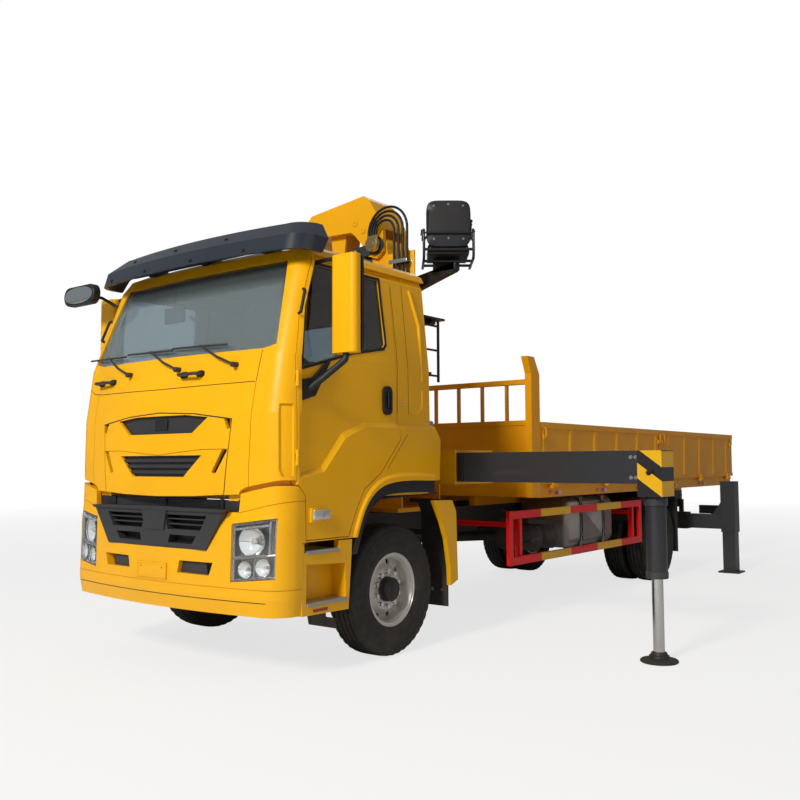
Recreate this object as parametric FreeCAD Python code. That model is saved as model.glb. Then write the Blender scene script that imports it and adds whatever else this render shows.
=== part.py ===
import FreeCAD, Part
import math
import os

# Knuckle boom crane truck: two axles, a forward-control cab, a stake bed with drop sides,
# and a slewing crane with four outriggers between the cab and the bed.
# Millimetres. While modelling, Y = 0 is the front axle, +X is the truck's left side, +Y runs
# back and Z = 0 is the ground. save() then moves the origin under the middle of the truck.

V = FreeCAD.Vector

# ---- driving dimensions -----------------------------------------------------------------
FRONT_Y = -1475.0          # front of the bumper
TAIL_Y = 8630.0            # back of the tailgate's hinges
ORIGIN_Y = (FRONT_Y + TAIL_Y) / 2.0
WHEELBASE = 5560.0

TYRE_R = 525.0
TYRE_W = 270.0
TYRE_BORE_R = 292.0
STUB_R = 48.0              # shafts that the wheels turn on
FRONT_WHEEL_X = 1050.0     # middle of a front tyre
REAR_OUTER_X = 1075.0      # middle of an outer rear tyre
REAR_INNER_X = 765.0
STEER_X = 820.0            # kingpin

RAIL_X = 430.0             # outside of a frame rail
RAIL_T = 12.0
RAIL_W = 90.0
RAIL_Z0 = 820.0
RAIL_Z1 = 1080.0
RAIL_Y0 = -1180.0
RAIL_Y1 = 8520.0

CAB_WALL = 55.0
CAB_REAR_Y = 470.0
CAB_FLOOR_Z = 1330.0
CAB_LOW_Z = 985.0
ARCH_R = 735.0
ARCH_TOP = 1265.0
ARCH_TOP_END = 1290.0
STEP_X = 1090.0            # back of the boxed step under the door
GAP = 6.0                  # seam between a door or drop side and what it closes on

DOOR_FRONT_Y = -1185.0
DOOR_REAR_Y = -15.0
DOOR_TOP_Z = 3065.0
DOOR_HINGE_X = 1243.0
DOOR_PIN_R = 7.0

# The cab's outside: height, front at the middle, front at the corners, half width.
CAB_ROWS = [
    (985.0, -1440.0, -1180.0, 1243.0),
    (1500.0, -1445.0, -1205.0, 1245.0),
    (1900.0, -1430.0, -1205.0, 1245.0),
    (2330.0, -1345.0, -1170.0, 1238.0),
    (3040.0, -1075.0, -960.0, 1165.0),
    (3150.0, -1010.0, -900.0, 1115.0),
    (3205.0, -900.0, -800.0, 1010.0),
]
# Side outlines round the front wheel, as Y and Z: the flare's outside, the arch's edge in the
# cab and the inside of the black lip.
FLARE = [(-648, 860), (-562, 1100), (-440, 1308), (-290, 1425), (-100, 1474), (270, 1481), (470, 1462)]
ARCH_EDGE = [(-600, 860), (-520, 1065), (-404, 1257), (-258, 1354), (-81, 1390), (270, 1397), (470, 1393)]
ARCH_LIP = [(-542, 860), (-455, 1075), (-350, 1222), (-215, 1282), (-60, 1299), (270, 1300), (470, 1294)]
FLARE_OUT = 16.0           # how far the flare stands off the cab's side
RECESS = 28.0              # step of the cab's side above its crease
# Crease of the cab's side: where the upper, sunken part ends and where its slope begins.
CREASE = [(-1140, 1475), (-920, 1515), (-690, 1768), (-440, 1860), (700, 1862)]
CREASE_FOOT = [(-1168, 1432), (-905, 1472), (-668, 1722), (-430, 1812), (740, 1814)]
WINDOW = [(-1110, 2235), (-540, 2400), (-165, 2470), (-140, 2500), (-165, 3020), (-905, 3020),
          (-1030, 2700)]         # Y and Z of the door window's corners

SURROUND = [(-1128, 2208), (-540, 2376), (-155, 2446), (-116, 2490), (-141, 3045), (-921, 3045),
            (-1051, 2705)]       # outside of the black band round that window

BED_Y0 = 2330.0            # front of the drop sides
BED_SPLIT_Y = 5560.0
BED_Y1 = 8540.0
BED_HALF = 1200.0          # inner face of the drop sides
BED_FLOOR_Z = 1330.0
BED_FLOOR_T = 45.0
SIDE_Z0 = 1318.0
SIDE_Z1 = 1955.0
SIDE_T = 30.0
RIB_PITCH = 600.0
SIDE_PIN_R = 11.0
SIDE_PIN_X = BED_HALF + 62.0
SIDE_PIN_Z = 1296.0

CRANE_X = 175.0            # slewing axis
CRANE_Y = 1235.0
SLEW_Z = 1760.0            # joint between pedestal and column
MAST_TOP_Z = 3420.0
BOOM_PIVOT_X = 150.0
BOOM_PIVOT_Z = 3700.0
KNEE_X = -1500.0
KNEE_Z = 3700.0
ARM_HALF = 200.0
HEAD_HALF = 150.0
TIP_X = -2700.0            # end of the outer boom's fixed section
TUBE_HALF = 112.0          # half of the square hollow in the outer boom
TUBE_Z = KNEE_Z + 42.0     # centre line of the telescoping sections
TELE_CLEAR = 0.5
TELE_WALL = 16.0
TELE_X1 = KNEE_X - 380.0   # inner ends of the sliding sections
HOOK_X = TIP_X - 200.0
HOOK_Z = TUBE_Z - 50.0

# X and Z of the pins at both ends of the lift and fold cylinders, and their radii.
LIFT_FOOT_X = -215.0       # lower pin of the lift cylinder
LIFT_FOOT_Z = 2560.0
LIFT_EYE_X = -90.0         # upper pin, on the dark link plates
LIFT_EYE_Z = 3655.0
LIFT_R = 88.0
LIFT_ROD_R = 48.0
FOLD_FOOT_X = -430.0       # pin of the fold cylinder on the inner boom
FOLD_FOOT_Z = 3560.0
FOLD_EYE_X = KNEE_X - 260.0    # its rod's eye on the outer boom's horn
FOLD_EYE_Z = KNEE_Z - 150.0
FOLD_R = 66.0
FOLD_ROD_R = 38.0
LIFT_FOOT = (LIFT_FOOT_X, CRANE_Y, LIFT_FOOT_Z)
LIFT_EYE = (LIFT_EYE_X, CRANE_Y, LIFT_EYE_Z)
FOLD_FOOT = (FOLD_FOOT_X, CRANE_Y, FOLD_FOOT_Z)
FOLD_EYE = (FOLD_EYE_X, CRANE_Y, FOLD_EYE_Z)

SEAT_TURN = -52.0          # the operator looks past the boom, so the seat is turned on its stem

BEAM_LEFT_Y = 1060.0       # front outrigger beams lie side by side
BEAM_RIGHT_Y = 1410.0
BEAM_Z0 = 1372.0
BEAM_Z1 = 1632.0
BEAM_HALF_Y = 120.0
JACK_X = 2945.0
JACK_TUBE_R = 80.0
JACK_ROD_R = 44.0
PAD_R = 145.0
PAD_H = 22.0

REAR_LEG_X = 1665.0
REAR_LEG_Y = 6990.0
REAR_BEAM_Z0 = 600.0
REAR_BEAM_Z1 = 798.0
LEG_HALF = 85.0

PIN_CLEAR = 0.05           # running clearance of pins in bores
SLIDE_CLEAR = 0.5          # running gap of beams and legs in their tubes


# ---- small helpers ----------------------------------------------------------------------
def box(x0, x1, y0, y1, z0, z1):
    return Part.makeBox(x1 - x0, y1 - y0, z1 - z0, V(x0, y0, z0))


def cyl(radius, start, end):
    axis = V(*end) - V(*start)
    return Part.makeCylinder(radius, axis.Length, V(*start), axis)


def tube(outer, inner, start, end):
    return cyl(outer, start, end).cut(cyl(inner, start, end))


def polygon(points):
    return Part.Face(Part.makePolygon([V(*p) for p in points] + [V(*points[0])]))


def prism_x(yz, x0, x1):
    return polygon([(x0, y, z) for y, z in yz]).extrude(V(x1 - x0, 0, 0))


def prism_y(xz, y0, y1):
    return polygon([(x, y0, z) for x, z in xz]).extrude(V(0, y1 - y0, 0))


def prism_z(xy, z0, z1):
    return polygon([(x, y, z0) for x, y in xy]).extrude(V(0, 0, z1 - z0))


def mirror(shape):
    return shape.mirror(V(0, 0, 0), V(1, 0, 0))


def both(shape):
    return [shape, mirror(shape)]


def cut_all(shape, tools):
    for tool in tools:
        shape = shape.cut(tool)
    return shape


def fuse_all(shapes):
    first = shapes[0]
    if len(shapes) == 1:
        return first
    return first.multiFuse(shapes[1:]).removeSplitter()


def turned(shape, degrees, base, axis):
    copy = shape.copy()
    copy.rotate(V(*base), V(*axis), degrees)
    return copy


def revolve_x(profile, centre_y, centre_z):
    """Turn a closed (x, r) outline about the line along X through (centre_y, centre_z)."""
    face = polygon([(x, centre_y, centre_z + r) for x, r in profile])
    return face.revolve(V(0, centre_y, centre_z), V(1, 0, 0), 360)


def pipe(points, radius, bend):
    """Round tube through points with each corner turned on an arc."""
    pts = [V(*p) for p in points]
    edges = []
    start = pts[0]
    for i in range(1, len(pts) - 1):
        back = (pts[i - 1] - pts[i]).normalize()
        ahead = (pts[i + 1] - pts[i]).normalize()
        half = back.getAngle(ahead) / 2.0
        reach = bend / math.tan(half)
        mid_dir = (back + ahead).normalize()
        first = pts[i] + back * reach
        last = pts[i] + ahead * reach
        middle = pts[i] + mid_dir * (bend / math.sin(half) - bend)
        edges.append(Part.LineSegment(start, first).toShape())
        edges.append(Part.Arc(first, middle, last).toShape())
        start = last
    edges.append(Part.LineSegment(start, pts[-1]).toShape())
    path = Part.Wire(edges)
    ring = Part.Wire(Part.makeCircle(radius, pts[0], pts[1] - pts[0]))
    return path.makePipeShell([ring], True, False)


def strip_wire(outer, inner, x):
    """Closed outline at one x between two smooth curves through (y, z) points."""
    curves = []
    for points in (outer, list(reversed(inner))):
        curve = Part.BSplineCurve()
        curve.interpolate([V(x, y, z) for y, z in points])
        curves.append(curve.toShape())
    ends = [V(x, *outer[-1]), V(x, *inner[-1]), V(x, *inner[0]), V(x, *outer[0])]
    edges = [curves[0], Part.LineSegment(ends[0], ends[1]).toShape(), curves[1],
             Part.LineSegment(ends[2], ends[3]).toShape()]
    return Part.Wire(edges)


def save(name, shapes):
    if not isinstance(shapes, list):
        shapes = [shapes]
    solids = [solid for shape in shapes for solid in shape.Solids]
    result = solids[0] if len(solids) == 1 else Part.makeCompound(solids)
    result = result.copy()
    result.translate(V(0, -ORIGIN_Y, 0))
    result.exportStep(os.path.join("parts", name + ".step"))
    good = all(solid.isValid() for solid in solids)
    bounds = result.BoundBox
    print(name, len(solids), good, [round(v) for v in (bounds.XMin, bounds.XMax, bounds.YMin, bounds.YMax,
                                                      bounds.ZMin, bounds.ZMax)])


# ---- frame, drive line and axles --------------------------------------------------------
def chassis_frame():
    parts = []
    for side in (-1, 1):
        x_out = side * RAIL_X
        x_in = side * (RAIL_X - RAIL_W)
        web = box(min(x_out, x_out - side * RAIL_T), max(x_out, x_out - side * RAIL_T),
                  RAIL_Y0, RAIL_Y1, RAIL_Z0, RAIL_Z1)
        flanges = [box(min(x_out, x_in), max(x_out, x_in), RAIL_Y0, RAIL_Y1, z, z + RAIL_T)
                   for z in (RAIL_Z0, RAIL_Z1 - RAIL_T)]
        parts += [web] + flanges
    for y in (-1150, 1650, 2900, 4300, 6300, 7400, 8420):
        parts.append(box(-RAIL_X + 2, RAIL_X - 2, y, y + 90, RAIL_Z1 - 110, RAIL_Z1 - 14))
    for x in (-RAIL_X, RAIL_X - 85):
        parts += [box(x, x + 85, y, y + 110, RAIL_Z1 - 5, CAB_FLOOR_Z - 50) for y in (-1000, 240)]
    return fuse_all(parts)


def tail_bar():
    """Underrun bar and lamp boards at the back, on two brackets under the rails."""
    bar = box(-1150, 1150, 8430, 8520, 560, 680)
    legs = [box(x, x + 60, 8370, 8431, 600, 940) for x in (-RAIL_X - 60, RAIL_X)]
    lamps = [box(x, x + 420, 8440, 8535, 720, 850) for x in (-1150, 730)]
    posts = [box(x, x + 60, 8450, 8510, 660, 721) for x in (-970, 910)]
    return fuse_all([bar] + legs + lamps + posts)


def pinion_nose():
    return cyl(85, (0, WHEELBASE - 180, TYRE_R + 20), (0, WHEELBASE - 420, TYRE_R + 60))


def powertrain():
    """Engine and gearbox in one block on cross mounts, radiator, and the long drive shaft."""
    web = RAIL_X - RAIL_T
    mounts = [box(-web, web, y, y + 60, 860, 900) for y in (-400, 950)]
    engine = box(-310, 310, -620, 480, 560, 1190)
    gearbox = cyl(150, (0, 478, 790), (0, 1150, 790))
    shaft = cyl(55, (0, 1140, 790), (0, WHEELBASE - 400, TYRE_R + 58)).cut(gearbox).cut(pinion_nose())
    radiator = box(-330, 330, -1020, -900, 560, 1180).fuse(box(-web, web, -990, -930, 860, 900))
    return [fuse_all([engine, gearbox] + mounts), shaft, radiator]


def leaf_spring(x, y_mid, length, leaves, z_axle, rise):
    """A pack of leaves: an arc-shaped bar whose ends meet the rail's hangers."""
    half = length / 2.0
    thick = leaves * 14.0
    upper = [V(x - 40, y_mid - half, z_axle + rise), V(x - 40, y_mid, z_axle),
             V(x - 40, y_mid + half, z_axle + rise)]
    lower = [V(p.x, p.y, p.z + (thick if abs(p.y - y_mid) < 1 else 30)) for p in upper]
    edges = [Part.Arc(*upper).toShape(), Part.LineSegment(upper[2], lower[2]).toShape(),
             Part.Arc(*reversed(lower)).toShape(), Part.LineSegment(lower[0], upper[0]).toShape()]
    pack = Part.Face(Part.Wire(edges)).extrude(V(80, 0, 0))
    hangers = [box(x - 45, x + 45, y_mid + s * half - 60, y_mid + s * half + 60, z_axle + rise - 20,
                   RAIL_Z0) for s in (-1, 1)]
    return fuse_all([pack] + hangers)


def front_axle():
    beam = box(-RAIL_X - 5, RAIL_X + 5, -55, 55, 420, 520)
    arms = [prism_y([(s * (RAIL_X + 4), 420), (s * (STEER_X - 80), 470), (s * (STEER_X + 60), 470),
                     (s * (STEER_X + 60), 580), (s * (STEER_X - 80), 580), (s * (RAIL_X + 4), 520)], -55, 55)
            for s in (-1, 1)]
    axle = fuse_all([beam] + arms)
    pins = [cyl(30, (s * STEER_X, 0, 380), (s * STEER_X, 0, 660)) for s in (-1, 1)]
    springs = [leaf_spring(s * 385, 0, 1500, 5, 520, 110) for s in (-1, 1)]
    return [fuse_all([axle] + pins)] + springs


def rear_axle():
    y = WHEELBASE
    tube_ = cyl(95, (-575, y, TYRE_R), (575, y, TYRE_R))
    stubs = cyl(STUB_R, (-1118, y, TYRE_R), (1118, y, TYRE_R))
    bowl = revolve_x([(-215, 0), (-215, 90), (-150, 190), (-60, 245), (60, 245), (150, 190), (215, 90),
                      (215, 0)],
                     y, TYRE_R)
    seats = [box(s * 385 - 40, s * 385 + 40, y - 70, y + 70, TYRE_R, TYRE_R + 96) for s in (-1, 1)]
    axle = fuse_all([tube_, stubs, bowl, pinion_nose()] + seats)
    springs = [leaf_spring(s * 385, y, 1560, 7, TYRE_R + 96, 80) for s in (-1, 1)]
    return [axle] + springs


# ---- wheels -----------------------------------------------------------------------------
def tyre(x_mid, y):
    """One closed ring: bead, sidewall, shoulder and flat tread."""
    w = TYRE_W / 2.0
    outline = [(-w * 0.74, TYRE_BORE_R), (-w * 0.96, TYRE_BORE_R + 55), (-w, TYRE_R - 110),
               (-w * 0.94, TYRE_R - 28), (-w * 0.80, TYRE_R - 4), (-w * 0.45, TYRE_R), (w * 0.45, TYRE_R),
               (w * 0.80, TYRE_R - 4), (w * 0.94, TYRE_R - 28), (w, TYRE_R - 110),
               (w * 0.96, TYRE_BORE_R + 55), (w * 0.74, TYRE_BORE_R)]
    return revolve_x([(x_mid + dx, r) for dx, r in outline], y, TYRE_R)


def rim(x_mid, y, dish, disc_out):
    """Steel rim ring with a disc of ten holes, dished towards `dish` (1 or -1) by `disc_out`."""
    w = TYRE_W / 2.0 * 0.74
    r = TYRE_BORE_R
    ring = [(x_mid - w, r), (x_mid + w, r), (x_mid + w, r - 26), (x_mid + w * 0.6, r - 40),
            (x_mid - w * 0.6, r - 40), (x_mid - w, r - 26)]
    d = x_mid + dish * disc_out
    disc = [(d, 60), (d, 165), (d - dish * 40, 205), (d - dish * 52, r - 38), (d - dish * 66, r - 38),
            (d - dish * 56, 200), (d - dish * 18, 160), (d - dish * 18, 60)]
    wheel = revolve_x(ring, y, TYRE_R).fuse(revolve_x(disc, y, TYRE_R))
    holes = [cyl(23, (d - 90, *on_wheel(y, 224, 36 * i)), (d + 90, *on_wheel(y, 224,
                                                                             36 * i))) for i in range(10)]
    return cut_all(wheel, holes)


def on_wheel(y, radius, angle_deg):
    """Y and Z of a point on a circle round a wheel's axis."""
    a = math.radians(angle_deg)
    return y + radius * math.cos(a), TYRE_R + radius * math.sin(a)


def hub(y, side, x_in, x_out, x_nuts):
    """Hub barrel with its cap and ten wheel nuts; the stub shaft turns in its bore."""
    barrel = tube(88, STUB_R + PIN_CLEAR, (side * x_in, y, TYRE_R), (side * x_out, y, TYRE_R))
    cap = cyl(88, (side * x_out, y, TYRE_R), (side * (x_out + 14), y, TYRE_R))
    nuts = [cyl(16, (side * (x_nuts - 4), *on_wheel(y, 140, 36 * i + 18)),
                (side * (x_nuts + 26), *on_wheel(y, 140, 36 * i + 18))) for i in range(10)]
    return fuse_all([barrel, cap] + nuts)


def front_wheel_rim(side):
    disc_x = FRONT_WHEEL_X + 40
    return rim(side * FRONT_WHEEL_X, 0, side, 40).fuse(hub(0, side, disc_x - 19, disc_x + 55, disc_x))


def rear_wheel_rims(side):
    """The twin rims back to back on one long hub."""
    outer = rim(side * REAR_OUTER_X, WHEELBASE, -side, 112)
    inner = rim(side * REAR_INNER_X, WHEELBASE, side, 112)
    return fuse_all([outer, inner, hub(WHEELBASE, side, 855, 1125, REAR_OUTER_X - 94)])


def knuckle(side):
    """Steering knuckle: a fork round the kingpin and the stub shaft that the wheel turns on."""
    x = side * STEER_X
    fork_top = tube(58, 30 + PIN_CLEAR, (x, 0, 586), (x, 0, 650))
    fork_low = tube(58, 30 + PIN_CLEAR, (x, 0, 390), (x, 0, 464))
    near = x + side * 40
    far = x + side * 92
    back = box(min(near, far), max(near, far), -52, 52, 390, 650)
    back = back.cut(cyl(95, (x - side * 1, 0, 464), (x - side * 1, 0, 586)))
    stub = cyl(STUB_R, (x + side * 90, 0, TYRE_R), (side * (FRONT_WHEEL_X + 92), 0, TYRE_R))
    arm = box(min(x, x - side * 60) - 22, max(x, x - side * 60) + 22, 40, 210, 400, 440)
    arm = arm.cut(cyl(33, (x, 0, 380), (x, 0, 660)))
    return fuse_all([fork_top, fork_low, back, stub, arm])


# ---- cab --------------------------------------------------------------------------------
# Each row: height, front at the middle, front at the corners, half width


def cab_wire(z, front, corner, half, rear):
    """Plan outline of the cab at one height: bowed front, turned corners, straight sides."""
    a = V(-half, rear, z)
    b = V(-half, corner + 60, z)
    c = V(-half + 190, corner - 0.62 * (corner - front), z)
    d = V(half - 190, c.y, z)
    e = V(half, corner + 60, z)
    f = V(half, rear, z)
    mid_l = V(-half + 38, corner - 0.28 * (corner - front), z)
    mid_r = V(half - 38, mid_l.y, z)
    edges = [Part.LineSegment(a, b).toShape(), Part.Arc(b, mid_l, c).toShape(),
             Part.Arc(c, V(0, front, z), d).toShape(), Part.Arc(d, mid_r, e).toShape(),
             Part.LineSegment(e, f).toShape(), Part.LineSegment(f, a).toShape()]
    return Part.Wire(edges)


def cab_volume(inset, low, high):
    """Solid cab shape shrunk by `inset` all round, between two heights."""
    rows = []
    for z, front, corner, half in CAB_ROWS:
        drop = inset if z > 3100 else 0
        rows.append(cab_wire(z - drop, front + inset, corner + inset, half - inset, CAB_REAR_Y - inset))
    body = Part.makeLoft(rows, True, True)
    return body.common(box(-2000, 2000, -2000, 1000, low, high))


def arch_line(shrink, start_deg, y_end):
    """Points of the wheel arch: three on the round front, one at the flat's start, one at its end."""
    r = ARCH_R - shrink
    a1, a2 = math.radians(start_deg), math.radians(118)
    arc = [V(0, r * math.cos(a), TYRE_R + r * math.sin(a)) for a in (a1, (a1 + a2) / 2, a2)]
    slope = (ARCH_TOP_END - ARCH_TOP) / 880.0
    return arc, V(0, -180, ARCH_TOP - shrink), V(0, y_end, ARCH_TOP - shrink + slope * (y_end + 180))


def arch_opening(reach):
    """Wheel arch: round in front of the axle, flat over it, open behind."""
    arc, top, end = arch_line(0, 205, 700)
    low_end, low_start = V(0, 700, 200), V(0, arc[0].y, 200)
    edges = [Part.LineSegment(low_end, end).toShape(), Part.LineSegment(end, top).toShape(),
             Part.LineSegment(top, arc[2]).toShape(), Part.Arc(arc[2], arc[1], arc[0]).toShape(),
             Part.LineSegment(arc[0], low_start).toShape(), Part.LineSegment(low_start, low_end).toShape()]
    face = Part.Face(Part.Wire(edges))
    face.translate(V(-reach, 0, 0))
    return face.extrude(V(2 * reach, 0, 0))


def arch_mouth():
    """Cut for the wheel through the left side of the cab, along the flare's inner edge."""
    x = CAB_ROWS[0][3] - CAB_WALL - 8
    curve = Part.BSplineCurve()
    curve.interpolate([V(x, y, z) for y, z in ARCH_EDGE])
    low = [V(x, *ARCH_EDGE[-1]), V(x, 700, ARCH_EDGE[-1][1]), V(x, 700, 300), V(x, ARCH_EDGE[0][0], 300),
           V(x, *ARCH_EDGE[0])]
    lines = [Part.LineSegment(a, b).toShape() for a, b in zip(low, low[1:])]
    return Part.Face(Part.Wire([curve.toShape()] + lines)).extrude(V(150, 0, 0))


def arch_flare():
    """Raised rim of the cab's wheel arch, sloping out towards the opening, on the left side."""
    x = CAB_ROWS[1][3]
    crest = [(0.45 * y0 + 0.55 * y1, 0.45 * z0 + 0.55 * z1) for (y0, z0), (y1, z1) in zip(FLARE, ARCH_EDGE)]
    rim = Part.makeLoft([strip_wire(FLARE, ARCH_EDGE, x - 14), strip_wire(crest, ARCH_EDGE, x + FLARE_OUT)],
                        True, True)
    return rim.common(box(0, 2000, -2000, CAB_REAR_Y, CAB_LOW_Z, 2000))


def arch_lip():
    """Black lip between the flare and the wheel's opening, on the left side."""
    face = Part.Face(strip_wire(ARCH_EDGE, ARCH_LIP, CAB_ROWS[0][3] - CAB_WALL + 6))
    return face.extrude(V(CAB_WALL - 4, 0, 0))


def arch_band(x0, x1):
    """Liner strip that follows the arch from its front foot over the tyre."""
    o_arc, o_top, o_end = arch_line(0, 196, 600)
    i_arc, i_top, i_end = arch_line(12, 196, 600)
    edges = [Part.Arc(*o_arc).toShape(), Part.LineSegment(o_arc[2], o_top).toShape(),
             Part.LineSegment(o_top, o_end).toShape(), Part.LineSegment(o_end, i_end).toShape(),
             Part.LineSegment(i_end, i_top).toShape(), Part.LineSegment(i_top, i_arc[2]).toShape(),
             Part.Arc(*reversed(i_arc)).toShape(), Part.LineSegment(i_arc[0], o_arc[0]).toShape()]
    face = Part.Face(Part.Wire(edges))
    face.translate(V(x0, 0, 0))
    return face.extrude(V(x1 - x0, 0, 0)).cut(box(STEP_X - 4, 1300, -1300, -650, 400, 852))


def side_recess():
    """What is cut off the cab's left side above its crease, with a sloped lower edge."""
    upper = CREASE + [(700, 3100), (-900, 3100), (-925, 3040), (-1062, 2680), (-1140, 2300)]
    skin = prism_x(upper, 1000, 1400).cut(cab_volume(RECESS, 900, 3400))
    rings = []
    for x, line, start in ((CAB_ROWS[1][3] - RECESS, CREASE, -1140),
                           (CAB_ROWS[1][3] + 6, CREASE_FOOT, -1168)):
        ring = [V(x, y, z) for y, z in line + [(line[-1][0], 1895), (start, 1895)]]
        rings.append(Part.makePolygon(ring + [ring[0]]))
    return [Part.makeLoft(rings, True, True), skin]


def door_outline(grow):
    """Side outline of a door, as (y, z), widened by `grow` for the opening it closes."""
    g = grow
    return [(-1095 - g, 1000 - g), (-1101 - g, 1318), (-1162 - g, 1386 - g), (DOOR_FRONT_Y - g, 1392 - g),
            (DOOR_FRONT_Y - g, 2300), (-1095 - g, 2660), (-940 - g, DOOR_TOP_Z + g),
            (DOOR_REAR_Y + g, DOOR_TOP_Z + g), (DOOR_REAR_Y + g, 1860), (-5 + g, 1730 - g),
            (-259 + g, 1463 - g),
            (-453 + g, 1350 - g), (-545 + g, 1201 - g), (-640 + g, 1000 - g)]


def windscreen_hole():
    return prism_y([(-1100, 2395), (-980, 2370), (980, 2370), (1100, 2395), (1035, 2800), (985, 3060),
                    (-985, 3060),
                    (-1035, 2800)], -1600, -700)


def nose_hole(y0, y1, shrink=0):
    """Opening for the nose panel, seen from the front."""
    g = shrink
    return prism_y([(-715 + g, 1240 + g), (715 - g, 1240 + g), (785 - g, 1868 - g), (400, 1918 - g),
                    (0, 1938 - g),
                    (-400, 1918 - g), (-785 + g, 1868 - g)], y0, y1)


def nose_openings(y0, y1):
    """The nose panel's two V-shaped openings: the emblem's band and the slatted one."""
    upper = prism_y([(-385, 1770), (385, 1770), (545, 1885), (300, 1908), (-300, 1908), (-545, 1885)], y0, y1)
    lower = prism_y([(-310, 1445), (310, 1445), (495, 1605), (-495, 1605)], y0, y1)
    return [upper, lower]


def nose_panel():
    """Yellow panel of the nose with V-shaped openings, arrow-shaped vents and a bent seam."""
    skin = cab_volume(0, CAB_LOW_Z, 2100).cut(cab_volume(26, CAB_LOW_Z - 10, 2200))
    skin = skin.common(nose_hole(-1600, -1200, 9))
    skin = skin.cut(prism_y([(-1400, 900), (1400, 900), (860, 1327), (400, 1305), (0, 1298), (-400, 1305),
                             (-860, 1327)],
                            -1700, -1101))
    skin = cut_all(skin, nose_openings(-1600, -1200))
    arrows = both(prism_y([(700, 1880), (772, 1862), (768, 1800), (742, 1790)], -1600, -1200))
    arrows += both(prism_y([(600, 1480), (640, 1470), (748, 1640), (700, 1652)], -1600, -1200))
    seam = prism_y([(-900, 1645), (-500, 1645), (0, 1606), (500, 1645), (900, 1645), (900, 1650), (500, 1650),
                    (0, 1611), (-500, 1650), (-900, 1650)], -1600, -1200)
    seam = seam.cut(cab_volume(10, 1500, 1800))
    return cut_all(skin, arrows + [seam])


def cab_edge():
    """Room under the cab's front edge, for the bumper and its raised corners."""
    low = box(-2000, 2000, -2000, -1130, 900, 1215)
    middle = box(-868, 868, -2000, -1300, 900, 1275)
    half = [(0, 1296), (400, 1303), (860, 1325), (870, 1352), (930, 1378), (1190, 1425), (1400, 1425)]
    line = [(-x, z) for x, z in reversed(half[1:])] + half
    corner = prism_y([(-1400, 900)] + line + [(1400, 900)], -1700, -1101)
    return [low, middle, corner.cut(cab_volume(CAB_WALL - 10, 900, 1500))]


def corner_cut():
    """Shallow air guide down the cab's left front corner, beside a vertical panel seam."""
    guide = prism_y([(1172, 1962), (1300, 1962), (1300, 1470), (1192, 1448), (1178, 1500)], -1330, -1212)
    seam = prism_y([(961, 2135), (966, 2135), (944, 1300), (939, 1300)], -1700, -1200)
    return [guide.cut(cab_volume(14, 1200, 2300)), seam.cut(cab_volume(9, 1200, 2300))]


def side_rib():
    """Bent rib on the cab's side behind the door, in two parts, on the left side."""
    low = pipe([(1206, 190, 1935), (1206, 335, 1975), (1203, 346, 2151)], 20, 70)
    high = pipe([(1200, 346, 2220), (1172, 346, 2700), (1136, 250, 3000)], 20, 160)
    return [low, high]


def hinge_cylinders(radius, grow):
    """Rings of the left door's two hinges: those of the door first, then those of the cab."""
    rings = []
    for first, last in ((0, 50), (-31, -1), (51, 81)):
        rings.append([cyl(radius, (DOOR_HINGE_X, DOOR_FRONT_Y, z + first - grow),
                          (DOOR_HINGE_X, DOOR_FRONT_Y, z + last + grow)) for z in (1560, 2120)])
    return rings[0], rings[1] + rings[2]


def cab_shell():
    outer = cab_volume(0, CAB_LOW_Z, 3300)
    room = cab_volume(CAB_WALL, CAB_FLOOR_Z, 3300)
    bay = cab_volume(CAB_WALL, CAB_LOW_Z - 10, CAB_FLOOR_Z - 50)
    shell = outer.cut(room).cut(bay)
    shell = cut_all(shell, cab_edge())
    shell = shell.cut(box(-1150, 1150, 300, 600, 900, CAB_FLOOR_Z - 50))
    shell = shell.cut(arch_opening(CAB_ROWS[0][3] - CAB_WALL - 8))
    flare = arch_flare()
    for tool in side_recess() + corner_cut():
        shell = cut_all(shell, both(tool))
    fin = prism_x([(CAB_REAR_Y - 1, 1395), (545, 1395), (562, 1740), (480, 1850), (CAB_REAR_Y - 1, 1850)],
                  1190, 1244)
    extras = [flare, fin] + side_rib()
    shell = fuse_all([shell] + [piece for part in extras for piece in both(part)])
    doors = prism_x(door_outline(GAP), 1060, 1400)
    shell = cut_all(shell, both(arch_mouth()) + both(doors))
    shell = shell.cut(windscreen_hole())
    rear_glass = box(-520, 520, 350, 600, 2250, 2820)
    shell = shell.cut(rear_glass)
    shell = shell.cut(nose_hole(-1600, -1250))
    ears = hinge_cylinders(14, 0)[1]
    ways = hinge_cylinders(19, 1)[0]
    pins = [cyl(DOOR_PIN_R, (DOOR_HINGE_X, DOOR_FRONT_Y, z - 31), (DOOR_HINGE_X, DOOR_FRONT_Y, z + 81))
            for z in (1560, 2120)]
    for way in ways:
        shell = cut_all(shell, both(way))
    hardware = [piece for part in ears + pins for piece in both(part)]
    return fuse_all([shell] + hardware)


def cab_glass():
    """Windscreen and rear pane, each a thin sheet set into its opening."""
    skin = cab_volume(18, 2300, 3200).cut(cab_volume(26, 2200, 3300))
    screen = skin.common(windscreen_hole())
    rear = box(-520, 520, CAB_REAR_Y - 34, CAB_REAR_Y - 26, 2250, 2820)
    return [screen, rear]


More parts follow.
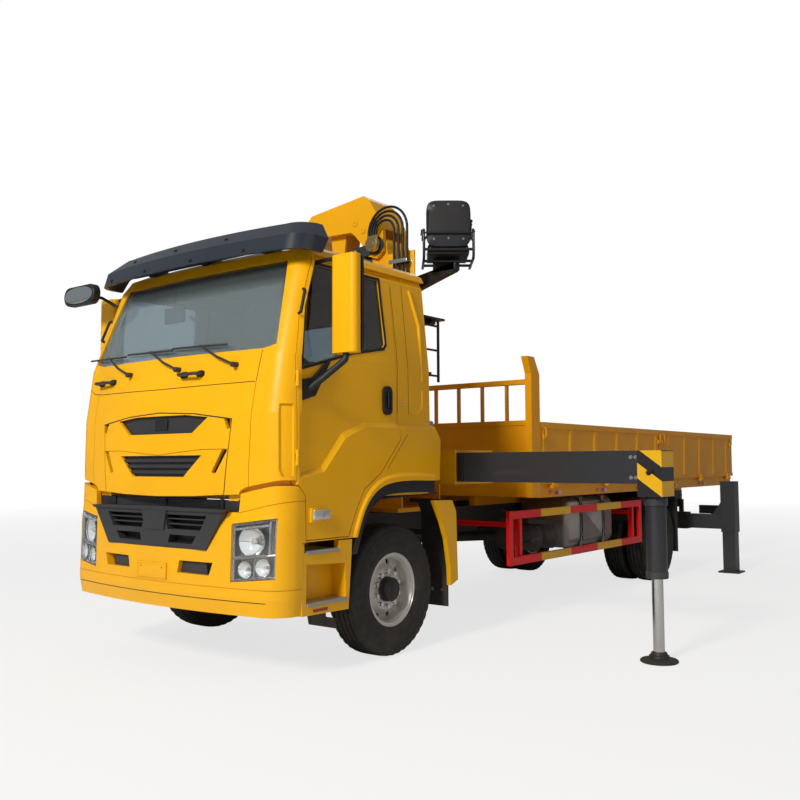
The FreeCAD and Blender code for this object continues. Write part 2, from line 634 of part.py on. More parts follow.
def door(side):
    """Door panel with its window opening and hinge eyes."""
    shell = cab_volume(0, 900, 3300).cut(cab_volume(CAB_WALL, 900, 3400))
    panel = cut_all(shell, side_recess())
    panel = panel.common(prism_x(door_outline(0), 1060, 1400))
    panel = panel.cut(prism_x(WINDOW, 1000, 1400))
    eyes = hinge_cylinders(14, 0)[0]
    ways = hinge_cylinders(19, 1)[1]
    panel = fuse_all([cut_all(panel, ways)] + eyes)
    panel = panel.cut(cyl(DOOR_PIN_R + PIN_CLEAR, (DOOR_HINGE_X, DOOR_FRONT_Y, 1400),
                          (DOOR_HINGE_X, DOOR_FRONT_Y, 2300)))
    return panel if side > 0 else mirror(panel)


def mirror_housing(side):
    """Tall yellow mirror housing, held clear of the door by black arms."""
    body = box(1330, 1560, -945, -845, 2335, 3052)
    body = body.makeFillet(40, [e for e in body.Edges if e.Length > 600])
    return body if side > 0 else mirror(body)


def door_glass(side):
    pane = cab_volume(RECESS + 10, 1900, 3200).cut(cab_volume(RECESS + 17, 1900, 3300))
    pane = pane.common(prism_x(WINDOW, 1000, 1400))
    return pane if side > 0 else mirror(pane)


def front_mirror():
    """Wide round mirror that looks down over the cab's front, on an arm from the door's corner."""
    dish = box(1215, 1690, -1235, -1165, 2968, 3142)
    dish = dish.makeFillet(84, [e for e in dish.Edges if abs(e.Length - 70) < 0.5])
    dish = dish.makeFillet(18, [e for e in dish.Edges if abs(e.CenterOfMass.y + 1235) < 1])
    arm = pipe([(1450, -1180, 3050), (1310, -1090, 3035), (1240, -985, 2965), (1110, -948, 2930)], 14, 40)
    return [dish, arm]


def door_trim(side):
    """Black pieces on a door: the window's surround, the handle and the mirror's arms."""
    band = cab_volume(RECESS - 4, 1900, 3300).cut(cab_volume(RECESS, 1900, 3400))
    band = band.common(prism_x(SURROUND, 1000, 1400)).cut(prism_x(WINDOW, 1000, 1400))
    handle = box(CAB_ROWS[1][3] - RECESS, CAB_ROWS[1][3] - 4, -202, -98, 1925, 2155)
    handle = handle.makeFillet(46, [e for e in handle.Edges if abs(e.Length - (RECESS - 4)) < 0.5])
    handle = handle.cut(box(CAB_ROWS[1][3] - 14, 1400, -178, -122, 1975, 2105))
    upper_arm = pipe([(1130, -880, 3043), (1240, -880, 3050), (1400, -890, 3035)], 15, 60)
    lower_arm = pipe([(1225, -1055, 2075), (1320, -1010, 2150), (1445, -900, 2290), (1445, -895, 2400)], 24,
                     60)
    skin = cab_volume(0, 1900, 3300).cut(cab_volume(RECESS, 1900, 3400))
    base = skin.common(prism_x([(-1125, 1992), (-1000, 2030), (-940, 2120), (-830, 2300), (-900, 2262),
                                (-1010, 2165), (-1125, 2140)], 1000, 1400))
    arms = [upper_arm, lower_arm]
    if side < 0:
        arms += front_mirror()
    arms = cut_all(fuse_all(arms), [cab_volume(RECESS, 1900, 3400), door(1), mirror_housing(1)])
    pieces = [fuse_all([base, arms, band]), handle]
    if side < 0:
        pieces = [mirror(piece) for piece in pieces]
    return pieces


def cab_interior():
    """Two seats on the floor, the engine tunnel, and the dashboard with the steering wheel."""
    seats = []
    for x in (-560, 560):
        base = box(x - 240, x + 240, -420, 60, CAB_FLOOR_Z, 1800)
        seats.append(base.fuse(box(x - 230, x + 230, 50, 200, 1700, 2520)))
    profile = [(-1500, CAB_FLOOR_Z), (-1500, 2240), (-1130, 2300), (-1020, 2330), (-780, 2230), (-760, 1800),
               (-1000, 1700), (-1150, CAB_FLOOR_Z)]
    dash = prism_x(profile, -1400, 1400).common(cab_volume(CAB_WALL, CAB_FLOOR_Z, 2600))
    dash = dash.cut(box(1110, 1400, DOOR_FRONT_Y - GAP - 20, 0, 1200, 2600))
    dash = dash.cut(box(-1400, -1110, DOOR_FRONT_Y - GAP - 20, 0, 1200, 2600))
    column = cyl(28, (560, -800, 2060), (560, -640, 2180))
    wheel = Part.makeTorus(215, 17, V(560, -640, 2180), V(0, 140, 100))
    spokes = cyl(60, (560, -652, 2171), (560, -636, 2183))
    bar = box(345, 775, -653, -635, 2165, 2190)
    tunnel = box(-280, 280, -700, 350, CAB_FLOOR_Z, 1480)
    return seats + [fuse_all([dash, column, wheel, spokes, bar]), tunnel]


def sun_visor():
    """Hood over the windscreen: a shell bowed like the cab front, standing off the roof."""
    def row(z, front, corner, half):
        return cab_wire(z, front, corner, half, -600)
    outer = Part.makeLoft([row(3095, -1285, -1060, 1245), row(3215, -1245, -1030, 1240),
                           row(3340, -1100, -900, 1150), row(3365, -1010, -820, 1080)], True, True)
    inner = Part.makeLoft([row(3080, -1262, -1035, 1222), row(3205, -1222, -1005, 1217),
                           row(3325, -1075, -880, 1125), row(3350, -990, -800, 1060)], True, True)
    shell = outer.cut(inner)
    slope = prism_x([(-1500, 3000), (-1500, 3500), (-790, 3500), (-860, 3215), (-930, 3095)], -1400, 1400)
    shell = shell.common(slope)
    feet = [box(x - 30, x + 30, -1010, -850, 3160, 3345) for x in (-700, 0, 700)]
    body = cab_volume(0, 2900, 3300)
    feet = [foot.cut(body).common(outer) for foot in feet]
    return fuse_all([shell] + feet)


# ---- front end --------------------------------------------------------------------------
def bumper_wire(z, front, corner, half):
    return cab_wire(z, front, corner, half, -1101)


def bumper_volume(inset):
    """Outer shape of the bumper shrunk by `inset`, from its lower edge to its raised corners."""
    rows = [(478, -1450, -1215, 1232), (600, -1475, -1225, 1246), (1100, -1468, -1215, 1247),
            (1196, -1450, -1205, 1246), (1400, -1443, -1202, 1245)]
    return Part.makeLoft([bumper_wire(z, front + inset, corner + inset, half - inset)
                          for z, front, corner, half in rows], True, True)


def bumper():
    """Wrap-round bumper with lamp pockets, fog openings, an air intake and a plate carrier."""
    inner = Part.makeLoft([bumper_wire(470, -1405, -1180, 1192), bumper_wire(1200, -1405, -1180, 1201),
                           bumper_wire(1410, -1409, -1184, 1209)], True, True)
    shell = bumper_volume(0).cut(inner)
    shell = shell.cut(box(-1190, 1190, -1180, -1090, 400, 1500))
    shell = shell.cut(box(-1300, 1300, -1135, -1000, 400, 981))
    half = [(868, 1197), (880, 1330), (1155, 1386), (1400, 1386), (1400, 1500)]
    top = prism_y([(-x, z) for x, z in reversed(half)] + half, -1700, -1000)
    doors = both(prism_x(door_outline(GAP + 2), 1060, 1400))
    intake = intake_prism(1210, -1600, -1300)
    fogs = both(fog_prism(-1600, -1300))
    lamps = both(lamp_prism(-1600, -1150))
    seam = prism_y([(860, 1190), (1400, 1308), (1400, 1313), (860, 1195)], -1700, -1000).cut(bumper_volume(7))
    carrier = box(-180, 180, -1485, -1440, 690, 806).cut(box(-160, 160, -1500, -1481, 704, 792))
    screws = [cyl(7, (x, -1500, 770), (x, -1460, 770)) for x in (-125, 125)]
    crease = box(-1400, 1400, -1600, -1000, 664, 669).cut(bumper_volume(6))
    shell = cut_all(shell, [top, intake, crease] + doors + fogs + lamps + both(seam))
    brackets = [box(x, x + 90, -1410, RAIL_Y0, RAIL_Z0, 920) for x in (-RAIL_X, RAIL_X - 90)]
    return cut_all(fuse_all([shell, carrier] + brackets), screws)


def intake_prism(top, y0, y1):
    """Air intake of the bumper, widening upwards to the height `top`."""
    half = 590 + 0.68 * (top - 920)
    return prism_y([(-590, 920), (590, 920), (half, top), (-half, top)], y0, y1)


def fog_prism(y0, y1):
    return prism_y([(290, 745), (615, 742), (650, 835), (310, 835)], y0, y1)


def lamp_prism(y0, y1):
    return prism_y([(815, 709), (1175, 745), (1180, 1163), (818, 1117)], y0, y1)


def grille():
    """Black parts of the nose: inserts with slats, air intake bars and the mesh between."""
    insert = cab_volume(34, CAB_LOW_Z, 2000).cut(cab_volume(CAB_WALL - 2, CAB_LOW_Z - 10, 2100))
    insert = insert.common(nose_hole(-1600, -1200, 1)).cut(box(-900, 900, -1600, -1200, 900, 1340))
    rim = cab_volume(5, CAB_LOW_Z, 2000).cut(cab_volume(36, CAB_LOW_Z - 10, 2100))
    rim = rim.common(nose_hole(-1600, -1200, 1)).cut(nose_hole(-1600, -1200, 8))
    rim = rim.cut(box(-900, 900, -1600, -1200, 900, 1340))
    slats = []
    for z in (1468, 1512, 1556):
        slat = cab_volume(9, z, z + 24).cut(cab_volume(36, z - 5, z + 40))
        slats.append(slat.common(nose_openings(-1600, -1200)[1]))
    frame = intake_prism(1196, -1455, -1380)
    slots = both(prism_y([(160, 1058), (530, 1058), (600, 1166), (125, 1166)], -1500, -1300))
    slots += both(prism_y([(165, 958), (440, 958), (488, 1018), (180, 1018)], -1500, -1300))
    bars = [box(-620, 620, -1440, -1395, z, z + 9) for z in (1092, 1130)]
    frame = fuse_all([cut_all(frame, slots)] + bars)
    wing = prism_y([(-775, 1196), (775, 1196), (806, 1217), (0, 1226), (-806, 1217)], -1472, -1392)
    badge = prism_y([(-118, 1050), (118, 1050), (150, 1205), (-150, 1205)], -1466, -1440)
    frame = fuse_all([frame, wing, badge])
    mesh = box(-860, 860, -1335, -1320, 1150, CAB_FLOOR_Z - 50).common(cab_volume(CAB_WALL, 985, CAB_FLOOR_Z))
    plugs = both(fog_prism(-1500, -1410).common(bumper_volume(34)))
    return [fuse_all([insert, rim] + slats), frame, mesh] + plugs


def headlamps():
    return both(lamp_prism(-1500, -1220).common(bumper_volume(6)))


def front_y(x, z):
    """Y of the cab's bowed front at width x and height z."""
    for low, high in zip(CAB_ROWS, CAB_ROWS[1:]):
        if low[0] <= z <= high[0]:
            t = (z - low[0]) / (high[0] - low[0])
            front, corner, half = (a + t * (b - a) for a, b in zip(low[1:], high[1:]))
            return front - 0.62 * (front - corner) * 0.6 * (x / (half - 190)) ** 2 * 1.02
    return CAB_ROWS[0][1]


def cab_trim():
    """Black trim on the cab's front: three wipers and two grab handles."""
    body = cab_volume(0, 2000, 2600)
    pieces = []
    for x in (760, 150, -480):
        out = [(x, front_y(x, 2262) - 30, 2262), (x - 170, front_y(x - 170, 2330) - 42, 2330),
               (x - 420, front_y(x - 420, 2440) - 20, 2440)]
        arm = pipe(out, 9, 25)
        blade = cyl(8, (x - 130, front_y(x - 130, 2425) - 20, 2425),
                    (x - 740, front_y(x - 740, 2440) - 20, 2440))
        hub = cyl(20, (x, front_y(x, 2262) + 12, 2262), (x, front_y(x, 2262) - 48, 2262))
        pieces.append(fuse_all([arm, blade, hub]).cut(body))
    for x in (420, -720):
        y = front_y(x - 110, 2215)
        handle = pipe([(x, y + 20, 2215), (x, y - 60, 2215), (x - 220, y - 60, 2215),
                       (x - 220, y + 20, 2215)], 13, 28)
        pieces.append(handle.cut(body))
    return pieces


def step_panel():
    """Yellow skirt under the door with an upper foothold and a boxed lower step, on the left side."""
    skirt = prism_x([(-1135, 472), (-640, 464), (-606, 860), (-600, 975), (-1135, 975)], 1190, 1244)
    foothold = box(1180, 1260, -1112, -742, 912, 990)
    well = prism_x([(-1092, 552), (-668, 552), (-676, 805), (-1092, 828)], 1180, 1260)
    skirt = cut_all(skirt, [foothold, well])
    box_step = box(STEP_X, 1191, -1110, -655, 536, 846).cut(box(STEP_X + 14, 1260, -1094, -666, 552, 830))
    tread = box(930, 1191, -1112, -742, 893, 912)
    ribs = [box(960, 1236, -1100 + 28 * i, -1086 + 28 * i, 911, 918) for i in range(13)]
    ribs = [rib.common(box(940, 1190, -1112, -742, 900, 930)) for rib in ribs]
    back = box(905, 930, -1120, -745, 480, 975)
    front = box(905, 1236, -1135, -1115, 480, 975)
    link = box(925, STEP_X + 5, -1110, -745, 690, 712)
    return fuse_all([skirt, box_step, tread, back, front, link] + ribs)


def fender(side):
    """Black liner behind the front wheel with a hanging flap."""
    shape = prism_x([(600, 1232), (742, 1225), (800, 1100), (812, 700), (790, 560), (735, 480), (735, 300),
                     (722, 300), (716, 485), (762, 600), (780, 705), (770, 1090), (725, 1185), (600, 1195)],
                    880, 1195)
    bracket = box(RAIL_X, 900, 760, 800, 900, 950)
    shape = shape.fuse(bracket)
    return shape if side > 0 else mirror(shape)


def fender_panel():
    """Yellow side panel of the liner behind the left front wheel."""
    outline = [(470, 1224), (742, 1216), (800, 1120), (822, 524), (712, 484), (704, 640), (655, 884),
               (585, 1040)]
    panel = prism_x(outline, 1195, 1238)
    hollow = prism_x([(640, 1195), (720, 1190), (776, 1105), (796, 700), (770, 560), (716, 540),
                      (706, 700)], 1190, 1226)
    return panel.cut(hollow)


# ---- side equipment ---------------------------------------------------------------------
def side_guard():
    """Open frame of striped rails between the axles, on the left side."""
    y0, y1, z0, z1 = 1700, WHEELBASE - 670, 555, 1070
    bar = 75
    frame = prism_x([(y0, z0), (y1, z0), (y1, z1), (y0, z1)], 1205, 1240)
    hole = box(1190, 1260, y0 + bar, y1 - bar, z0 + bar, z1 - bar)
    frame = frame.cut(hole)
    arms = [box(RAIL_X, 1206, y, y + 50, 900, 950) for y in (y0 + 250, y1 - 210)]
    posts = [box(1150, 1206, y, y + 50, 600, 1050) for y in (y0 + 250, y1 - 210)]
    return fuse_all([frame] + arms + posts)


def fuel_tank():
    tank = box(500, 1120, 3200, 4270, 600, 1150)
    tank = tank.makeFillet(110, [e for e in tank.Edges if e.Length > 1000])
    cap = cyl(55, (1010, 3450, 1140), (1010, 3450, 1185))
    straps = [box(480, 1128, y, y + 60, 592, 1158).cut(box(500, 1120, y - 5, y + 65, 600,
                                                           1150)) for y in (3420, 3990)]
    arms = [box(RAIL_X, 500, y, y + 60, 760, 940) for y in (3420, 3990)]
    return fuse_all([tank, cap] + straps + arms)


def air_tanks():
    tanks = [cyl(125, (700, y, z), (1120, y, z)) for y, z in ((2450, 760), (2780, 760))]
    arms = [box(RAIL_X, 701, y - 40, y + 40, 830, 875) for y in (2450, 2780)]
    pair = [tank.fuse(arm) for tank, arm in zip(tanks, arms)]
    battery = box(-1120, -560, 2300, 2900, 640, 1000)
    battery = battery.fuse(box(-560, -RAIL_X, 2400, 2800, 760, 900))
    locker = box(-1120, -520, 3300, 4200, 600, 1060).fuse(box(-520, -RAIL_X, 3500, 4000, 760, 900))
    exhaust = cyl(140, (-700, 1500, 730), (-700, 2150, 730)).fuse(box(-700, -RAIL_X, 1700, 1900, 830, 865))
    return pair + [battery, locker, exhaust]


def rear_flaps():
    """Mudguards over the twin wheels and the flaps behind them."""
    pieces = []
    for side in (-1, 1):
        x0, x1 = sorted((side * RAIL_X, side * 1215))
        top = box(x0, x1, WHEELBASE - 430, WHEELBASE + 430, 1150, 1165)
        ends = [box(x0, x1, WHEELBASE + s * 620 - 10, WHEELBASE + s * 620 + 10, 800, 1000) for s in (-1, 1)]
        slopes = [prism_x([(WHEELBASE + s * 430, 1150), (WHEELBASE + s * 430, 1165),
                           (WHEELBASE + s * 630, 1000),
                           (WHEELBASE + s * 610, 1000)], x0, x1) for s in (-1, 1)]
        flap = box(x0 + (200 if side > 0 else 0), x1 - (200 if side < 0 else 0), WHEELBASE + 612,
                   WHEELBASE + 624,
                   330, 810)
        pieces.append(fuse_all([top, flap] + ends + slopes))
    return pieces


# ---- bed --------------------------------------------------------------------------------
def bed_floor():
    """Deck with long bearers on the rails and cross bearers under the boards."""
    deck = box(-BED_HALF, BED_HALF, BED_Y0, BED_Y1, BED_FLOOR_Z - BED_FLOOR_T, BED_FLOOR_Z)
    rims = [box(min(s * BED_HALF, s * (BED_HALF - 50)), max(s * BED_HALF, s * (BED_HALF - 50)), BED_Y0,
                BED_Y1,
                1180, BED_FLOOR_Z) for s in (-1, 1)]
    bearers = [box(s * 390 - 35, s * 390 + 35, 2360, 8520, RAIL_Z1, 1180) for s in (-1, 1)]
    cross = [box(-BED_HALF, BED_HALF, y, y + 60, 1180, BED_FLOOR_Z - BED_FLOOR_T + 1)
             for y in [BED_Y0 + 40 + 600 * i for i in range(11)]]
    x_post = BED_HALF + 22
    posts = [box(s * x_post - 23, s * x_post + 23, BED_SPLIT_Y - 40, BED_SPLIT_Y + 40, 1180,
                 SIDE_Z1) for s in (-1, 1)]
    return fuse_all([deck] + rims + bearers + cross + posts)


def headboard():
    """Rack at the front of the bed: solid lower board, bars, rails and two tall corner posts."""
    y0, y1 = 2215, 2290
    board = box(-BED_HALF, BED_HALF, y0 + 10, y1 - 10, 1190, 1930)
    foot = box(-BED_HALF + 100, BED_HALF - 100, y1 - 20, BED_Y0, 1190, BED_FLOOR_Z)
    rails = [box(-BED_HALF, BED_HALF, y0, y1, z, z + 50) for z in (1920, 2340)]
    bars = [box(x - 14, x + 14, y0 + 20, y1 - 20, 1960, 2350) for x in (-900, -600, -300, 0, 300, 600, 900)]
    post = prism_x([(2150, 1190), (2320, 1190), (2320, 2440), (2215, 2610), (2075, 2610), (2150, 2440)],
                   BED_HALF - 25, BED_HALF + 48)
    return fuse_all([board, foot] + rails + bars + both(post))


def side_board_rib(x_in, x_out, y):
    """Pressed rib of a side board, wide at its foot and narrow under the rail."""
    rings = []
    for z, wide, slim in ((SIDE_Z0 + 40, 88, 62), (SIDE_Z1 - 30, 52, 26)):
        ring = [V(x_in, y - wide, z), V(x_out, y - slim, z), V(x_out, y + slim, z), V(x_in, y + wide, z)]
        rings.append(Part.makePolygon(ring + [ring[0]]))
    return Part.makeLoft(rings, True, True)


def drop_side(side, y0, y1):
    """Hinged side board with a top rail, pressed ribs outside and hinge straps at its foot."""
    x0 = BED_HALF + GAP
    board = box(x0, x0 + SIDE_T, y0, y1, SIDE_Z0, SIDE_Z1)
    x_out = BED_HALF + 50
    rail = box(x0 - 2, x_out, y0, y1, SIDE_Z1 - 62, SIDE_Z1)
    low = box(x0, x_out - 6, y0, y1, SIDE_Z0, SIDE_Z0 + 52)
    count = int((y1 - y0 - 160) // RIB_PITCH) + 1
    start = (y0 + y1 - (count - 1) * RIB_PITCH) / 2.0
    ribs = []
    for i in range(count):
        y = start + i * RIB_PITCH
        ribs.append(side_board_rib(x0 + SIDE_T - 1, x_out - 1, y))
    straps = []
    for y in (y0 + 260, (y0 + y1) / 2.0, y1 - 260):
        strap = box(x_out - 6, SIDE_PIN_X + 4, y - 40, y + 40, SIDE_PIN_Z, SIDE_Z0 + 52)
        eye = tube(20, SIDE_PIN_R + PIN_CLEAR, (SIDE_PIN_X, y - 40, SIDE_PIN_Z),
                   (SIDE_PIN_X, y + 40, SIDE_PIN_Z))
        bore = cyl(SIDE_PIN_R + PIN_CLEAR, (SIDE_PIN_X, y - 50, SIDE_PIN_Z), (SIDE_PIN_X, y + 50, SIDE_PIN_Z))
        straps.append(strap.cut(bore).fuse(eye))
    shape = fuse_all([board, rail, low] + ribs + straps)
    return shape if side > 0 else mirror(shape)


def hinge_pins():
    """Pins of the side and tail boards, each on two ears welded to the bed's edge."""
    pins = []
    for side in (-1, 1):
        for y0, y1 in ((BED_Y0 + GAP, BED_SPLIT_Y - 45), (BED_SPLIT_Y + 45, BED_Y1 - 4)):
            for y in (y0 + 260, (y0 + y1) / 2.0, y1 - 260):
                x = side * SIDE_PIN_X
                pin = cyl(SIDE_PIN_R, (x, y - 62, SIDE_PIN_Z), (x, y + 62, SIDE_PIN_Z))
                edge = side * BED_HALF
                ears = [box(min(edge, x + side * 12), max(edge, x + side * 12), y + d - 8, y + d + 8,
                            SIDE_PIN_Z - 24, SIDE_PIN_Z + 14) for d in (-54, 54)]
                pins.append(fuse_all([pin] + ears))
    for x in (-800, 0, 800):
        y = BED_Y1 + 74
        pin = cyl(SIDE_PIN_R, (x - 62, y, SIDE_PIN_Z), (x + 62, y, SIDE_PIN_Z))
        ears = [box(x + d - 8, x + d + 8, BED_Y1, y + 12, SIDE_PIN_Z - 24, SIDE_PIN_Z + 14) for d in (-54,
                                                                                                      54)]
        pins.append(fuse_all([pin] + ears))
    return pins


def tailgate():
    y0 = BED_Y1 + GAP
    half = BED_HALF - 4
    board = box(-half, half, y0, y0 + SIDE_T, SIDE_Z0, SIDE_Z1)
    rail = box(-half, half, y0 - 2, y0 + 62, SIDE_Z1 - 55, SIDE_Z1)
    low = box(-half, half, y0, y0 + 44, SIDE_Z0, SIDE_Z0 + 70)
    ribs = [prism_z([(x - 75, y0 + SIDE_T - 1), (x - 42, y0 + 58), (x + 42, y0 + 58),
                     (x + 75, y0 + SIDE_T - 1)],
                    SIDE_Z0 + 40, SIDE_Z1 - 30) for x in (-900, -300, 300, 900)]
    straps = []
    y_pin = BED_Y1 + 74
    for x in (-800, 0, 800):
        strap = box(x - 40, x + 40, y0 + 44, y_pin + 4, SIDE_PIN_Z, SIDE_Z0 + 60)
        eye = tube(20, SIDE_PIN_R + PIN_CLEAR, (x - 40, y_pin, SIDE_PIN_Z), (x + 40, y_pin, SIDE_PIN_Z))
        bore = cyl(SIDE_PIN_R + PIN_CLEAR, (x - 50, y_pin, SIDE_PIN_Z), (x + 50, y_pin, SIDE_PIN_Z))
        straps.append(strap.cut(bore).fuse(eye))
    return fuse_all([board, rail, low] + ribs + straps)


# ---- crane ------------------------------------------------------------------------------
def crane_base():
    """Cross frame on the rails, two outrigger tubes side by side and the slewing pedestal."""
    y_front = BEAM_LEFT_Y - BEAM_HALF_Y - SLIDE_CLEAR
    y_back = BEAM_RIGHT_Y + BEAM_HALF_Y + SLIDE_CLEAR
    y_mid = (BEAM_LEFT_Y + BEAM_RIGHT_Y) / 2.0
    z_low, z_high = BEAM_Z0 - SLIDE_CLEAR, BEAM_Z1 + SLIDE_CLEAR
    saddle = box(-560, 560, y_front - 100, y_back + 100, RAIL_Z1, RAIL_Z1 + 40)
    walls = [box(-1150, 1150, y, y + 16, z_low - 10, z_high + 10) for y in (y_front - 16, y_mid - 8, y_back)]
    webs = [box(-540, 540, y, y + 16, RAIL_Z1 + 30, z_low) for y in (y_front - 16, y_back)]
    plates = [box(-1150, 1150, y_front - 20, y_back + 20, z, z + 24) for z in (z_low - 24, z_high)]
    tray = fuse_all([saddle] + walls + webs + plates)
    pedestal = Part.makeCone(330, 250, SLEW_Z - BEAM_Z1 - 10, V(CRANE_X, CRANE_Y, BEAM_Z1 + 10), V(0, 0, 1))
    return tray.fuse(pedestal)


def column_mast():
    """Tapered box mast of the column."""
    low_z, high_z = SLEW_Z + 119, MAST_TOP_Z
    low = [(-210, -190), (210, -190), (210, 190), (-210, 190)]
    high = [(-110, -HEAD_HALF), (120, -HEAD_HALF), (120, HEAD_HALF), (-110, HEAD_HALF)]
    rings = [[V(CRANE_X + dx, CRANE_Y + dy, z) for dx, dy in ring] for ring,
             z in ((low, low_z), (high, high_z))]
    return Part.makeLoft([Part.makePolygon(ring + [ring[0]]) for ring in rings], True, True)


def crane_column():
    """Slewing column: round foot, tapered box mast, two-cheek cylinder foot and boom head."""
    foot = cyl(275, (CRANE_X, CRANE_Y, SLEW_Z + 0.3), (CRANE_X, CRANE_Y, SLEW_Z + 120))
    head = prism_y([(CRANE_X - 110, MAST_TOP_Z - 1), (CRANE_X + 120, MAST_TOP_Z - 1),
                    (CRANE_X + 60, BOOM_PIVOT_Z),
                    (BOOM_PIVOT_X - 95, BOOM_PIVOT_Z)], CRANE_Y - HEAD_HALF, CRANE_Y + HEAD_HALF)
    crown = cyl(95, (BOOM_PIVOT_X, CRANE_Y - HEAD_HALF, BOOM_PIVOT_Z),
                (BOOM_PIVOT_X, CRANE_Y + HEAD_HALF, BOOM_PIVOT_Z))
    pin = cyl(48, (BOOM_PIVOT_X, CRANE_Y - ARM_HALF - 42, BOOM_PIVOT_Z),
              (BOOM_PIVOT_X, CRANE_Y + ARM_HALF + 20, BOOM_PIVOT_Z))
    cheeks = [prism_y([(60, LIFT_FOOT_Z - 150), (LIFT_FOOT_X - 60, LIFT_FOOT_Z - 70),
                       (LIFT_FOOT_X - 60, LIFT_FOOT_Z + 60),
                       (60, LIFT_FOOT_Z + 220)], CRANE_Y + y - 14, CRANE_Y + y + 14) for y in (-104, 104)]
    foot_pin = cyl(34, (LIFT_FOOT_X, CRANE_Y - 104, LIFT_FOOT_Z), (LIFT_FOOT_X, CRANE_Y + 104, LIFT_FOOT_Z))
    return fuse_all([foot, column_mast(), head, crown, pin, foot_pin] + cheeks)


def inner_boom():
    """Goosenecked arm: a solid beam whose root is slotted over the column's head."""
    x0, z0 = BOOM_PIVOT_X, BOOM_PIVOT_Z
    outline = [(230, 3860), (200, 3950), (55, 4180), (-20, 4235), (-735, 4150), (-835, 4050), (-1000, 3935),
               (KNEE_X + 40, 3850), (KNEE_X - 90, 3760), (KNEE_X - 90, 3640), (KNEE_X + 60, 3605),
               (-1060, 3690), (-830, 3850),
               (-700, 3905), (-190, 3885), (-140, 3850), (-40, 3738), (30, 3610), (150, 3570), (235, 3640)]
    arm = prism_y(outline, CRANE_Y - ARM_HALF, CRANE_Y + ARM_HALF)
    slot = prism_y([(-170, 3400), (320, 3400), (330, 3700), (245, 3850), (120, 3960), (-60, 3960),
                    (-230, 3860)],
                   CRANE_Y - HEAD_HALF - 7, CRANE_Y + HEAD_HALF + 7)
    knee = prism_y([(KNEE_X - 200, 3500), (KNEE_X + 225, 3500), (KNEE_X + 225, 3890), (KNEE_X - 200, 3890)],
                   CRANE_Y - HEAD_HALF - 7, CRANE_Y + HEAD_HALF + 7)
    arm = arm.cut(slot).cut(knee)
    arm = arm.cut(cyl(48 + PIN_CLEAR, (x0, CRANE_Y - 400, z0), (x0, CRANE_Y + 400, z0)))
    knee_pin = cyl(42, (KNEE_X, CRANE_Y - ARM_HALF - 16, KNEE_Z), (KNEE_X, CRANE_Y + ARM_HALF + 16, KNEE_Z))
    lug = prism_y([(FOLD_FOOT_X - 110, 3930), (FOLD_FOOT_X - 60, FOLD_FOOT_Z),
                   (FOLD_FOOT_X - 40, FOLD_FOOT_Z - 55),
                   (FOLD_FOOT_X + 40, FOLD_FOOT_Z - 55), (FOLD_FOOT_X + 60, FOLD_FOOT_Z),
                   (FOLD_FOOT_X + 110, 3930)],
                  CRANE_Y - 112, CRANE_Y + 112)
    lug = lug.cut(box(-2000, 1000, CRANE_Y - 84, CRANE_Y + 84, 3000, 3880))
    lug_pin = cyl(30, (FOLD_FOOT_X, CRANE_Y - 111, FOLD_FOOT_Z), (FOLD_FOOT_X, CRANE_Y + 111, FOLD_FOOT_Z))
    return fuse_all([arm, knee_pin, lug, lug_pin])


def link_plates():
    """Dark cheek plates on both sides of the arm's root that carry the lift cylinder's eye."""
    plates = []
    for s in (-1, 1):
        y_in = CRANE_Y + s * ARM_HALF
        y_out = CRANE_Y + s * (ARM_HALF + 18)
        y0, y1 = min(y_in, y_out), max(y_in, y_out)
        big = cyl(92, (BOOM_PIVOT_X, y0, BOOM_PIVOT_Z), (BOOM_PIVOT_X, y1, BOOM_PIVOT_Z))
        small = cyl(66, (LIFT_EYE_X, y0, LIFT_EYE_Z), (LIFT_EYE_X, y1, LIFT_EYE_Z))
        bridge = prism_y([(BOOM_PIVOT_X, BOOM_PIVOT_Z - 70), (LIFT_EYE_X, LIFT_EYE_Z - 62),
                          (LIFT_EYE_X, LIFT_EYE_Z + 50),
                          (BOOM_PIVOT_X, BOOM_PIVOT_Z + 40)], y0, y1)
        plate = fuse_all([big, small, bridge])
        plate = plate.cut(cyl(50, (BOOM_PIVOT_X, y0 - 50, BOOM_PIVOT_Z),
                              (BOOM_PIVOT_X, y1 + 50, BOOM_PIVOT_Z)))
        plates.append(plate)
    cross = cyl(36, (LIFT_EYE_X, CRANE_Y - ARM_HALF - 40, LIFT_EYE_Z), (LIFT_EYE_X, CRANE_Y - 60, LIFT_EYE_Z))
    cross2 = cyl(36, (LIFT_EYE_X, CRANE_Y + 60, LIFT_EYE_Z),
                 (LIFT_EYE_X, CRANE_Y + ARM_HALF + 40, LIFT_EYE_Z))
    return [plates[0].fuse(cross), plates[1].fuse(cross2)]


def cylinder_barrel(foot, eye, radius, rod_radius, length, half_foot):
    """Barrel with an eye at its foot pin, bored for the rod, pointing at the rod's eye."""
    f, e = V(*foot), V(*eye)
    d = (e - f).normalize()
    eye_ring = cyl(radius * 0.82, (foot[0], foot[1] - half_foot, foot[2]),
                   (foot[0], foot[1] + half_foot, foot[2]))
    start, end = f + d * 40, f + d * length
    body = cyl(radius, tuple(start), tuple(end))
    collar = cyl(radius + 12, tuple(end - d * 60), tuple(end))
    bore = cyl(rod_radius + PIN_CLEAR, tuple(f + d * 110), tuple(end + d * 10))
    return fuse_all([eye_ring, body, collar]).cut(bore)


def cylinder_rod(foot, eye, rod_radius, start, half_eye):
    f, e = V(*foot), V(*eye)
    d = (e - f).normalize()
    rod = cyl(rod_radius, tuple(f + d * start), tuple(e - d * rod_radius))
    eye_ring = cyl(rod_radius * 1.45, (eye[0], eye[1] - half_eye, eye[2]),
                   (eye[0], eye[1] + half_eye, eye[2]))
    return fuse_all([rod, eye_ring])


